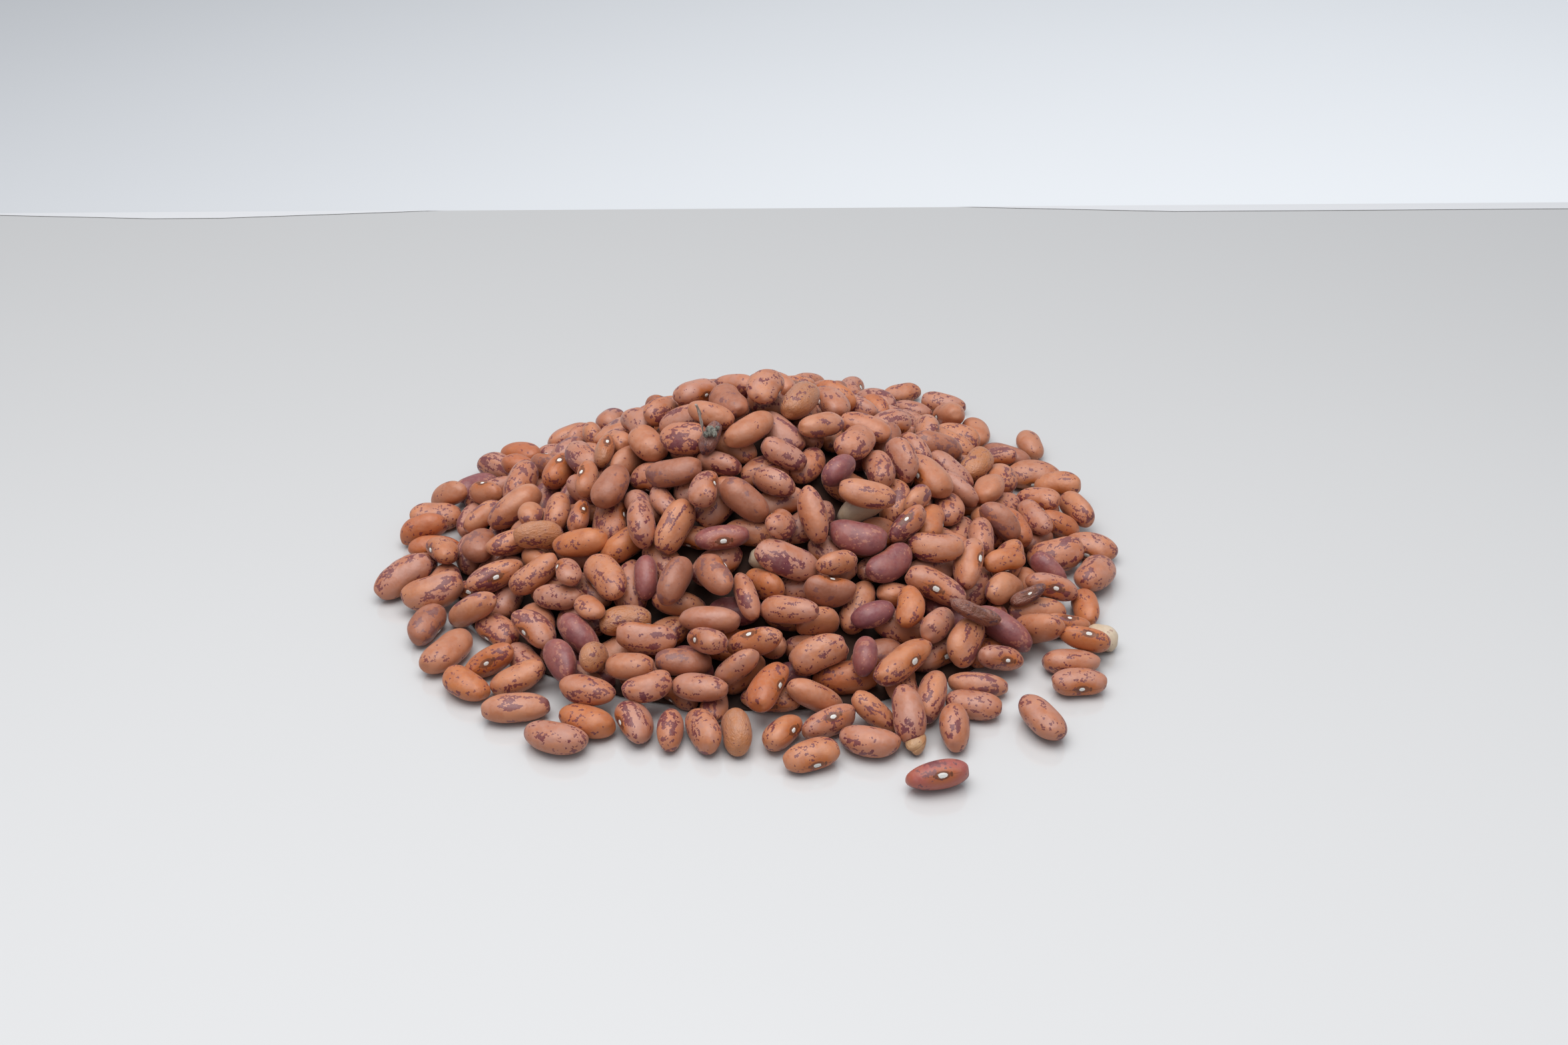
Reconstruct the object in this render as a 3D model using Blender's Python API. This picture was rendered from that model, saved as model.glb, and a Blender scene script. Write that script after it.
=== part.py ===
"""A loose heap of dried speckled beans, as it lies when a bag is tipped out on a table.

The heap is one solid: a mound with a flat base, and the beans that show fused on it at their true size.
The beans that have rolled clear of it are solids of their own.
The beans are laid one at a time into the deepest place left under the heap's outline. Each is turned and
nudged until it lies as low as it can on the ones below, so the draw is random, but seeded.
"""

import math

import bmesh
import bpy
import numpy as np

MM = 0.001

# Driving dimensions of the beans, in millimetres: the mean bean, and how far beans differ from it
BEAN_LENGTH = 13.4
BEAN_WIDTH = 7.9
BEAN_THICKNESS = 6.4
SIZE_SPREAD = 0.09
SIZE_RANGE = (0.74, 1.18)

# Driving dimensions of the heap, in millimetres
HEAP_RADIUS = 81.0
HEAP_HEIGHT = 44.5
EDGE_HEIGHT = 7.0
BED_DEPTH = 13.0

# The grid of columns, in millimetres, on which the heights of what has been laid are kept
COLUMN = 0.5
HALF_SIDE = 120.0
DRAW_SEED = 11

# The solid mound that carries the beans, in millimetres: its skin runs just under the beans' middles
MOUND_SECTORS = 30
MOUND_RINGS = 7
MOUND_INSET = 5.5
MOUND_BELOW_MIDDLES = 0.7
MOUND_EDGE_HEIGHT = 2.4
MOUND_SMOOTHING = 6.0
MOUND_ROOT = 3.0

# How many beans are fused on the mound, and how far a bean's middle may lie under or over its skin
BEANS_FUSED = 215
PRESSED_UNDER, PRESSED_OVER = 1.5, 2.3
SEAT_DEPTH = 0.32

# The sides and rings of a faceted bean: one of those that show most, any other fused one, and a loose one
FINER_BEANS = 90
FINER_SIDES, FINER_RINGS = 6, 4
COARSER_SIDES, COARSER_RINGS = 6, 3
STRAY_SIDES, STRAY_RINGS = 12, 8

# Beans picked for their place, from the heap's front edge up to its top: x and y of the middle, the way
# the length points, how far it is rolled from flat (-35 shows the eye to the front), length and width
PICKED = (
    (14, -91, 20, -35, 12.7, 7.4),
    (26, -87, -3, 160, 13.2, 7.8),
    (-42, -87, -22, 170, 14.3, 8.2),
    (-51, -76, 0, 150, 14.7, 7.6),
    (-35, -82, -25, 175, 13.0, 7.8),
    (-25, -83, -63, -40, 12.2, 8.0),
    (-17, -84, 88, 90, 12.0, 6.6),
    (-10, -84, -74, 95, 13.0, 7.5),
    (-2, -86, 92, 90, 11.6, 7.8),
    (7, -86, 62, -60, 11.5, 7.2),
    (17, -84, 23, -40, 13.0, 7.4),
    (26, -79, -24, 150, 12.0, 6.8),
    (-36, -77, -8, 165, 12.8, 7.6),
    (-11, -76, -28, 165, 13.0, 7.4),
    (-21, -77, 20, 170, 11.0, 7.0),
    (44, -84, 82, 95, 12.4, 7.8),
    (-63, -68, -32, 150, 12.4, 7.6),
    (-69, -56, 60, 160, 15.4, 8.2),
    (-81, -11, -2, -40, 13.0, 6.9),
    (74, -66, 0, -30, 12.4, 7.1),
    (50, -76, -13, 160, 12.6, 7.2),
    (51, -70, 3, 160, 13.4, 7.0),
    (56, -62, 30, -30, 11.6, 6.9),
    (73, -61, -5, 160, 13.0, 7.2),
    (81, -50, 0, 90, 7.6, 6.6),
    (77, -56, -9, -30, 11.6, 6.6),
    (76, 41, -80, 120, 11.7, 7.3),
    (54, 66, -18, 150, 12.6, 6.9),
    (43, 73, 15, 160, 10.9, 6.7),
    (69, -50, -54, 140, 14.5, 8.0),
    (60, -53, -38, 140, 15.0, 8.0),
    (39, -73, 74, 110, 14.1, 8.0),
    (-52, -65, 10, 165, 13.0, 7.4),
    (-59, -60, 14, -35, 12.4, 7.6),
    (-34, -69, 82, 90, 10.4, 7.2),
    (-26, -72, -20, 165, 10.8, 7.2),
    (15, -76, 14, 160, 13.5, 7.6),
    (5, -76, 61, -50, 14.3, 7.5),
    (-16, -69, 2, 165, 12.8, 7.4),
    (-2, -72, 2, 160, 11.6, 6.6),
    (-10, -68, -57, -38, 13.2, 7.3),
    (25, -68, 84, 95, 11.2, 6.8),
    (0, -67, -7, -60, 12.8, 7.1),
    (-42, -66, -57, 90, 12.6, 7.8),
    (34, -68, 54, -30, 17.3, 8.0),
    (42, -57, 63, 100, 12.6, 7.6),
    (-9, -59, -18, 165, 14.1, 7.6),
    (10, -55, -28, 150, 14.5, 7.5),
    (-49, -52, -43, -40, 13.0, 7.5),
    (-64, -44, -24, 165, 14.3, 7.8),
    (28, -51, 26, 160, 10.7, 6.9),
    (-1, -53, -80, 90, 13.9, 6.2),
    (-17, -51, 82, 95, 13.7, 8.0),
    (-23, -44, 94, 90, 10.9, 6.7),
    (43, -43, -14, -40, 14.9, 8.4),
    (71, -26, -40, 120, 10.9, 6.9),
    (-6, -38, 17, -35, 12.8, 6.9),
    (15, -34, -76, 92, 13.9, 8.0),
    (29, -27, -11, 160, 13.9, 7.6),
    (-50, -36, 27, 165, 13.0, 7.4),
    (-41, -32, -12, 170, 13.7, 7.6),
    (-47, -17, 85, 100, 12.4, 7.4),
    (49, 6, -29, 160, 13.4, 7.6),
    (-17, -33, 67, 100, 14.3, 8.2),
    (-2, -30, -31, 160, 13.9, 8.6),
    (7, -26, -50, 120, 11.7, 7.5),
    (22, -23, 66, 100, 12.0, 7.3),
    (-19, -21, -8, 170, 14.3, 7.6),
    (7, -19, -4, 165, 11.7, 7.1),
    (0, -12, 47, 130, 14.7, 7.8),
    (17, -6, 50, 150, 13.2, 7.1),
)
# How far a picked bean may be shaken from its row: x, y, yaw, pitch and roll, in millimetres and radians
PICKED_REACH = (0.5, 0.5, 0.06, 0.2, 0.2)
# The share of its size at which a bean touches those below, for a picked one and for any other
PICKED_SNUG, FILL_SNUG = 0.9, 0.97

# Beans that lie clear of the heap, in rows like those above
STRAYS = {
    "stray_bean_red": (40, -99, 14, -38, 13.8, 7.4),
    "stray_bean_speckled": (64, -80, -64, 150, 14.0, 8.2),
}


def outline_radius(bearing):
    """How far the heap's edge lies from under its top, for a bearing in radians: it has run to the front."""
    lean = 10.3 * np.cos(bearing + 1.33)
    oval = 3.5 * np.cos(2 * bearing - 0.7)
    lobes = 3.4 * np.cos(3 * bearing + 2.14)
    return HEAP_RADIUS + lean + oval + lobes


def heap_top(x, y):
    """The height of the heap's smooth outline: a rounded cone on a skirt one bean high."""
    reach = np.hypot(x, y) / outline_radius(np.arctan2(y, x))
    skirt, rounding, hollow = 0.94, 0.16, 1.2
    run = np.sqrt((reach / skirt) ** 2 + rounding**2) - rounding
    run /= math.sqrt(1 + rounding**2) - rounding
    crown = np.clip(1 - run, 0, 1) ** hollow
    return np.where(reach < 1, EDGE_HEIGHT + (HEAP_HEIGHT - EDGE_HEIGHT) * crown, 0.0)


def even_directions(count):
    """Unit directions spread evenly, in a spiral about X."""
    step = np.arange(count) + 0.5
    along = 1 - 2 * step / count
    around = step * math.pi * (3 - math.sqrt(5))
    ring = np.sqrt(1 - along**2)
    return np.stack([along, ring * np.cos(around), ring * np.sin(around)], axis=1)


CONTACT_DIRECTIONS = even_directions(170)
COVER_DIRECTIONS = even_directions(2200)


def bean_skin(directions, bean):
    """Points of a bean's skin: its length along X, its flat sides up and down, its eye towards -Y."""
    along = directions[:, 0]
    ring = np.hypot(directions[:, 1], directions[:, 2])
    reach = (np.abs(along) ** bean["blunt"] + ring ** bean["blunt"]) ** (-1 / bean["blunt"])
    x, y, z = (directions * reach[:, None]).T
    slim = 1 + bean["taper"] * x
    bow = bean["bend"] * (0.35 - x**2)
    eye = np.exp(-((x / 0.22) ** 2)) * np.clip(-directions[:, 1], 0, 1) ** 3
    y = y * slim + bow + bean["hollow"] * eye
    sides = (bean["length"], bean["width"], bean["thickness"])
    return np.stack([x, y, z * slim], axis=1) * sides / 2


def turn_matrices(yaw, pitch, roll):
    """One rotation matrix for each yaw, pitch and roll, rolled first and yawed last."""
    cy, sy, cp, sp, cr, sr = (f(a) for a in (yaw, pitch, roll) for f in (np.cos, np.sin))
    rows = (
        (cy * cp, cy * sp * sr - sy * cr, cy * sp * cr + sy * sr),
        (sy * cp, sy * sp * sr + cy * cr, sy * sp * cr - cy * sr),
        (-sp, cp * sr, cp * cr),
    )
    return np.moveaxis(np.array(rows), 2, 0)


def random_bean(draw):
    """A bean's measures, drawn about the mean bean."""
    size = np.clip(draw.normal(1, SIZE_SPREAD), *SIZE_RANGE)
    return {
        "length": BEAN_LENGTH * size * np.clip(draw.normal(1, 0.06), 0.88, 1.12),
        "width": BEAN_WIDTH * size * np.clip(draw.normal(1, 0.05), 0.9, 1.1),
        "thickness": BEAN_THICKNESS * size * np.clip(draw.normal(1, 0.05), 0.86, 1.1),
        "blunt": draw.uniform(2.15, 2.9),
        "taper": draw.uniform(-0.1, 0.1),
        "bend": draw.uniform(0.02, 0.24),
        "hollow": 0.08,
    }


def bean_of_size(draw, length, width):
    """A bean of the stated length and width, with the rest of its shape drawn."""
    thickness = width * BEAN_THICKNESS / BEAN_WIDTH
    return dict(random_bean(draw), length=length, width=width, thickness=thickness)


class Table:
    """The table's columns: how high each is filled, and by which bean."""

    def __init__(self):
        self.side = int(2 * HALF_SIDE / COLUMN)
        at = (np.arange(self.side) + 0.5) * COLUMN - HALF_SIDE
        self.target = heap_top(*np.meshgrid(at, at, indexing="ij"))
        self.height = np.maximum(self.target - BED_DEPTH, 0)
        self.owner = np.full(self.target.shape, -1)
        self.kept_clear = np.zeros(self.target.shape)
        self.beans = []

    def columns(self, x, y):
        last = self.side - 1
        return tuple(np.clip(((v + HALF_SIDE) / COLUMN).astype(int), 0, last) for v in (x, y))

    def rest_heights(self, bean, poses, snug):
        """How high each pose's centre comes to rest, and the share of it over picked beans."""
        skin = bean_skin(CONTACT_DIRECTIONS, bean) * snug
        turns = turn_matrices(*poses[:, 2:].T)
        points = (skin @ turns.reshape(-1, 3).T).reshape(len(skin), len(poses), 3)
        at = self.columns(points[:, :, 0] + poses[:, 0], points[:, :, 1] + poses[:, 1])
        rest = (self.height[at] - points[:, :, 2]).max(axis=0)
        on_table = -points[:, :, 2].min(axis=0) / snug
        return np.maximum(rest, on_table), self.kept_clear[at].mean(axis=0)

    def settle(self, bean, start, reach, draw, snug, tries=48, rounds=5):
        """Shakes a bean down from its start, and gives its pose, rest height and top above the outline.

        A pose is x, y, yaw, pitch and roll, and reach says how far each may stray from the start.
        """
        poses = start + draw.normal(0, 1, (tries, 5)) * reach
        lowest = np.inf
        for number in range(rounds):
            rest, covered = self.rest_heights(bean, poses, snug)
            outline = self.target[self.columns(poses[:, 0], poses[:, 1])]
            cost = rest - 0.75 * outline + 30 * covered
            best = int(np.argmin(cost))
            if cost[best] < lowest:
                lowest = cost[best]
                found = poses[best].copy(), rest[best], rest[best] - outline[best]
            narrower = np.minimum(reach, (3, 3, 0.6, 0.25, 0.6)) * 0.6 ** (number + 1)
            poses = found[0] + draw.normal(0, 1, (tries, 5)) * narrower
        pose, rest, above = found
        return pose, rest, above + bean["thickness"] / 2

    def add(self, bean, pose, rest, keep_clear=False):
        """Leaves a bean at its pose and raises the columns that it covers."""
        turn = turn_matrices(*pose[2:, None])[0]
        bean = dict(bean, turn=turn, place=np.array([pose[0], pose[1], rest]))
        skin = bean_skin(COVER_DIRECTIONS, bean) @ turn.T + bean["place"]
        skin = skin[np.argsort(skin[:, 2])]
        ix, iy = self.columns(skin[:, 0], skin[:, 1])
        patch = np.full((ix.max() - ix.min() + 1, iy.max() - iy.min() + 1), -1.0)
        patch[ix - ix.min(), iy - iy.min()] = skin[:, 2]
        under = (slice(ix.min(), ix.max() + 1), slice(iy.min(), iy.max() + 1))
        higher = patch > self.height[under]
        self.height[under][higher] = patch[higher]
        self.owner[under][higher] = len(self.beans)
        if keep_clear:
            self.kept_clear[under][higher] = 1
        self.beans.append(bean)

    def fill(self, least_room, most_above, spots, draw):
        """Lays beans into the deepest spots until none has room for one under the outline."""
        about = np.array([(0, 0), (2.5, 0), (-2.5, 0), (0, 2.5), (0, -2.5)])
        around = self.columns(*np.moveaxis(spots[:, None] + about, 2, 0))
        middle = self.columns(*spots.T)
        chance = draw.normal(0, 0.8, len(spots))
        still_open = np.ones(len(spots), bool)
        anywhere = np.array([3, 3, math.pi, 0.22, math.pi])
        while True:
            room = (self.target[around] - self.height[around]).mean(axis=1)
            room -= 6 * self.kept_clear[middle]
            still_open &= room > least_room
            if not still_open.any():
                return
            spot = int(np.argmax(np.where(still_open, room + chance, -np.inf)))
            bean = random_bean(draw)
            start = np.array([*spots[spot], 0, 0, 0])
            pose, rest, above = self.settle(bean, start, anywhere, draw, FILL_SNUG)
            if above > most_above:
                still_open[np.hypot(*(spots - spots[spot]).T) < 1.6] = False
                continue
            self.add(bean, pose, rest)

    def place_picked(self, draw):
        """Lays the picked beans, each as near its row as the beans below let it lie."""
        for x, y, yaw, roll, length, width in PICKED:
            bean = bean_of_size(draw, length, width)
            start = np.array([x, y, math.radians(yaw), 0, math.radians(roll)])
            pose, rest, _ = self.settle(bean, start, np.array(PICKED_REACH), draw, PICKED_SNUG)
            self.add(bean, pose, rest, keep_clear=True)


def lay_heap():
    """The table with the whole heap laid on it: first a bed, then the picked beans, then the rest."""
    draw = np.random.default_rng(DRAW_SEED)
    table = Table()
    spots = draw.uniform(-100, 100, (6000, 2))
    spots = spots[heap_top(*spots.T) > 0]
    table.fill(8.0, -4.0, spots, draw)
    table.place_picked(draw)
    table.fill(3.0, 2.2, spots, draw)
    return table


def lay_stray(row, draw):
    """A bean that lies by itself on the table, from its row in STRAYS."""
    x, y, yaw, roll, length, width = row
    bean = bean_of_size(draw, length, width)
    turn = turn_matrices(*(np.radians([angle]) for angle in (yaw, 0, roll)))[0]
    lowest = (bean_skin(COVER_DIRECTIONS, bean) @ turn.T)[:, 2].min()
    return dict(bean, turn=turn, place=np.array([x, y, -lowest]))


def facet_sphere(sides, rings):
    """A sphere of few sides with its poles on X, as a mesh to copy, and its corners as directions."""
    ball = bmesh.new()
    bmesh.ops.create_uvsphere(ball, u_segments=sides, v_segments=rings, radius=1)
    for vert in ball.verts:
        vert.co = vert.co.zxy
    mesh = bpy.data.meshes.new("facet_sphere")
    ball.to_mesh(mesh)
    ball.free()
    return mesh, np.array([vert.co[:] for vert in mesh.vertices])


def bean_object(name, bean, sphere, collection):
    """A faceted bean, pressed a little into what it lies on. The sphere is what facet_sphere gives."""
    mesh = sphere[0].copy()
    corners = bean_skin(sphere[1], bean) @ bean["turn"].T + bean["place"]
    corners[:, 2] -= SEAT_DEPTH
    mesh.vertices.foreach_set("co", (corners * MM).astype(np.float32).ravel())
    mesh.update()
    made = bpy.data.objects.new(name, mesh)
    collection.objects.link(made)
    return made


def most_shown(table):
    """The beans that are fused, the one that shows most from above first."""
    columns_shown = np.bincount(table.owner[table.owner >= 0], minlength=len(table.beans))
    order = np.argsort(-columns_shown, kind="stable")[:BEANS_FUSED]
    return [table.beans[number] for number in order]


def mound_edge(table, bearing):
    """How far the mound reaches, for each bearing: under the outermost beans."""
    steps = np.arange(60.0, 112.0, COLUMN)
    swing = np.radians(np.linspace(-6, 6, 7))
    lines = bearing[:, None, None] + swing[None, :, None]
    covered = table.height[table.columns(steps * np.cos(lines), steps * np.sin(lines))] > 1
    outermost = np.where(covered, steps, 0).max(axis=2)
    return np.quantile(outermost, 0.6, axis=1) - MOUND_INSET


def mound_top(beans, x, y):
    """The mound's height at each point: the mean height of the beans' middles near it, less a little."""
    middles = np.array([bean["place"] for bean in beans])
    apart = np.hypot(x[:, None] - middles[:, 0], y[:, None] - middles[:, 1])
    nearness = np.exp(-((apart / MOUND_SMOOTHING) ** 2) / 2) + 1e-9
    mean_height = nearness @ middles[:, 2] / nearness.sum(axis=1)
    return np.maximum(mean_height - MOUND_BELOW_MIDDLES, MOUND_EDGE_HEIGHT)


def pressed(bean, top):
    """The bean at its place, brought up or down to where the mound's skin, top, holds it."""
    x, y, z = bean["place"]
    return dict(bean, place=np.array([x, y, np.clip(z, top - PRESSED_UNDER, top + PRESSED_OVER)]))


def mound_object(name, table, beans, collection):
    """The mound: a line of points spun into a disc, raised under the beans, and closed below the table."""
    made = bmesh.new()
    line = [made.verts.new((step / MOUND_RINGS, 0, 0)) for step in range(MOUND_RINGS + 1)]
    edges = [made.edges.new(pair) for pair in zip(line, line[1:])]
    whole_turn = {"steps": MOUND_SECTORS, "angle": 2 * math.pi, "use_merge": True}
    bmesh.ops.spin(made, geom=line + edges, axis=(0, 0, 1), cent=(0, 0, 0), **whole_turn)
    bmesh.ops.remove_doubles(made, verts=made.verts[:], dist=0.001)
    flat = np.array([vert.co[:2] for vert in made.verts])
    flat *= mound_edge(table, np.arctan2(flat[:, 1], flat[:, 0]))[:, None]
    for vert, (x, y), top in zip(made.verts, flat, mound_top(beans, *flat.T)):
        vert.co = (x * MM, y * MM, top * MM)
    rim = [edge for edge in made.edges if edge.is_boundary]
    wall = bmesh.ops.extrude_edge_only(made, edges=rim)["geom"]
    for vert in (part for part in wall if isinstance(part, bmesh.types.BMVert)):
        vert.co.z = -MOUND_ROOT * MM
    bmesh.ops.contextual_create(made, geom=[edge for edge in made.edges if edge.is_boundary])
    bmesh.ops.recalc_face_normals(made, faces=made.faces[:])
    mesh = bpy.data.meshes.new(name)
    made.to_mesh(mesh)
    made.free()
    mound = bpy.data.objects.new(name, mesh)
    collection.objects.link(mound)
    return mound


def table_block(collection):
    """The cutter: a block that takes in everything under the table's top."""
    block = bmesh.new()
    bmesh.ops.create_cube(block, size=4 * HALF_SIDE * MM)
    bmesh.ops.translate(block, verts=block.verts[:], vec=(0, 0, -2 * HALF_SIDE * MM))
    mesh = bpy.data.meshes.new("table_block")
    block.to_mesh(mesh)
    block.free()
    made = bpy.data.objects.new("table_block", mesh)
    made.display_type = "WIRE"
    made.hide_render = True
    collection.objects.link(made)
    return made


def cut_flat(target, block):
    """The flat on which a piece stands: all of it under the table's top is cut away."""
    cut = target.modifiers.new("flat_underside", "BOOLEAN")
    cut.operation = "DIFFERENCE"
    cut.object = block


def fuse(target, beans):
    """Joins a collection of beans to a solid and to each other, for good, and removes the collection."""
    union = target.modifiers.new("fused_beans", "BOOLEAN")
    union.operation = "UNION"
    union.operand_type = "COLLECTION"
    union.collection = beans
    graph = bpy.context.evaluated_depsgraph_get()
    mesh = bpy.data.meshes.new_from_object(target.evaluated_get(graph))
    target.modifiers.clear()
    target.data = mesh
    for bean in list(beans.objects):
        bpy.data.objects.remove(bean)
    bpy.data.collections.remove(beans)


def connected_shells(made):
    """The vertices of each connected shell of a bmesh, the smallest shell first."""
    left = set(made.verts)
    shells = []
    while left:
        shell = set()
        front = {left.pop()}
        while front:
            shell |= front
            front = {edge.other_vert(vert) for vert in front for edge in vert.link_edges} & left
            left -= front
        shells.append(shell)
    return sorted(shells, key=len)


def keep_outer_shell(target):
    """Fills the hollows sealed between fused beans, and drops any bean that nothing joins to the mound."""
    made = bmesh.new()
    made.from_mesh(target.data)
    bmesh.ops.remove_doubles(made, verts=made.verts[:], dist=0.002 * MM)
    loose = [vert for shell in connected_shells(made)[:-1] for vert in shell]
    bmesh.ops.delete(made, geom=loose, context="VERTS")
    bmesh.ops.triangulate(made, faces=made.faces[:])
    made.to_mesh(target.data)
    made.free()


def finish(made, name, colour, roughness, shift):
    """Gives a piece its skin, shades its round sides smooth, and moves it to the heap's own origin."""
    skin = bpy.data.materials.new(name)
    skin.use_nodes = True
    shader = skin.node_tree.nodes["Principled BSDF"]
    shader.inputs["Base Color"].default_value = (*colour, 1)
    shader.inputs["Roughness"].default_value = roughness
    shader.inputs["Metallic"].default_value = 0
    skin.diffuse_color = (*colour, 1)
    made.data.materials.clear()
    made.data.materials.append(skin)
    made.data.shade_smooth()
    made.data.set_sharp_from_angle(angle=math.radians(50))
    made.location.x += shift[0] * MM
    made.location.y += shift[1] * MM


def middle_of_box(objects):
    """The middle, seen from above, of the box round some objects, in millimetres."""
    corners = np.array([vert.co[:2] for made in objects for vert in made.data.vertices]) / MM
    return (corners.min(axis=0) + corners.max(axis=0)) / 2


def new_collection(name):
    made = bpy.data.collections.new(name)
    bpy.context.scene.collection.children.link(made)
    return made


def main():
    for old in list(bpy.data.objects):
        bpy.data.objects.remove(old)
    parts = new_collection("heap_of_dried_beans")
    cutters = new_collection("cutters")
    fused = new_collection("fused_beans")

    table = lay_heap()
    beans = most_shown(table)
    finer = facet_sphere(FINER_SIDES, FINER_RINGS)
    coarser = facet_sphere(COARSER_SIDES, COARSER_RINGS)
    tops = mound_top(beans, *np.array([bean["place"][:2] for bean in beans]).T)
    for number, (bean, top) in enumerate(zip(beans, tops)):
        sphere = finer if number < FINER_BEANS else coarser
        bean_object(f"bean_{number}", pressed(bean, top), sphere, fused)

    draw = np.random.default_rng(DRAW_SEED)
    sphere = facet_sphere(STRAY_SIDES, STRAY_RINGS)
    strays = [bean_object(name, lay_stray(row, draw), sphere, parts) for name, row in STRAYS.items()]

    block = table_block(cutters)
    heap = mound_object("bean_heap", table, beans, parts)
    fuse(heap, fused)
    keep_outer_shell(heap)
    shift = -middle_of_box([heap, *strays])
    finish(heap, "speckled_tan_skin", (0.49, 0.22, 0.12), 0.5, shift)
    finish(strays[0], "maroon_skin", (0.26, 0.06, 0.07), 0.45, shift)
    finish(strays[1], "flecked_tan_skin", (0.46, 0.2, 0.12), 0.5, shift)
    for made in (heap, *strays):
        cut_flat(made, block)


main()
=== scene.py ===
"""A loose heap of dried speckled beans on a white sheet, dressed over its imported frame."""

import math

import bmesh
import bpy
import numpy as np
from mathutils import Matrix, Vector


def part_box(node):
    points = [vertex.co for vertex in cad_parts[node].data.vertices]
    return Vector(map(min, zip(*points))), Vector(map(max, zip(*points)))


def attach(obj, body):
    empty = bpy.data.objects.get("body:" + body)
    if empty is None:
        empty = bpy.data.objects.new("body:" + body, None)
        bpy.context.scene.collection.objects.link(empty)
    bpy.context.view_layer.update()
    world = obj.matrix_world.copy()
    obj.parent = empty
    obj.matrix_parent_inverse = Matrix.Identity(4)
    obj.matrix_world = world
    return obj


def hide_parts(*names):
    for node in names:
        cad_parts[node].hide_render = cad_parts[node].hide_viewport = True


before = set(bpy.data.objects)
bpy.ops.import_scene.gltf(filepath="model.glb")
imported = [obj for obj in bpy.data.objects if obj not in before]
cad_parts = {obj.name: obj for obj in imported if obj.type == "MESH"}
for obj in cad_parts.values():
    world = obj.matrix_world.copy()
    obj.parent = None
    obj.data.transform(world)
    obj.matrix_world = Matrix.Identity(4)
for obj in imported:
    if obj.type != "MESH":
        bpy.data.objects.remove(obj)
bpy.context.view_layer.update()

# The heap as it lies: about 400 beans tipped out of a bag, which have run into a low cone.
# Each bean drops into the deepest place left and settles on the ones below. The rule, the seed and the
# order of the draws are those of the solid heap, so that every bean lies where its solid bump is.
MM = 0.001
BEAN_LENGTH = 13.4
BEAN_WIDTH = 7.9
BEAN_THICKNESS = 6.4
SIZE_SPREAD = 0.09
SIZE_RANGE = (0.74, 1.18)
HEAP_RADIUS = 81.0
HEAP_HEIGHT = 44.5
EDGE_HEIGHT = 7.0
BED_DEPTH = 13.0
COLUMN = 0.5
HALF_SIDE = 120.0
DRAW_SEED = 11

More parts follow.
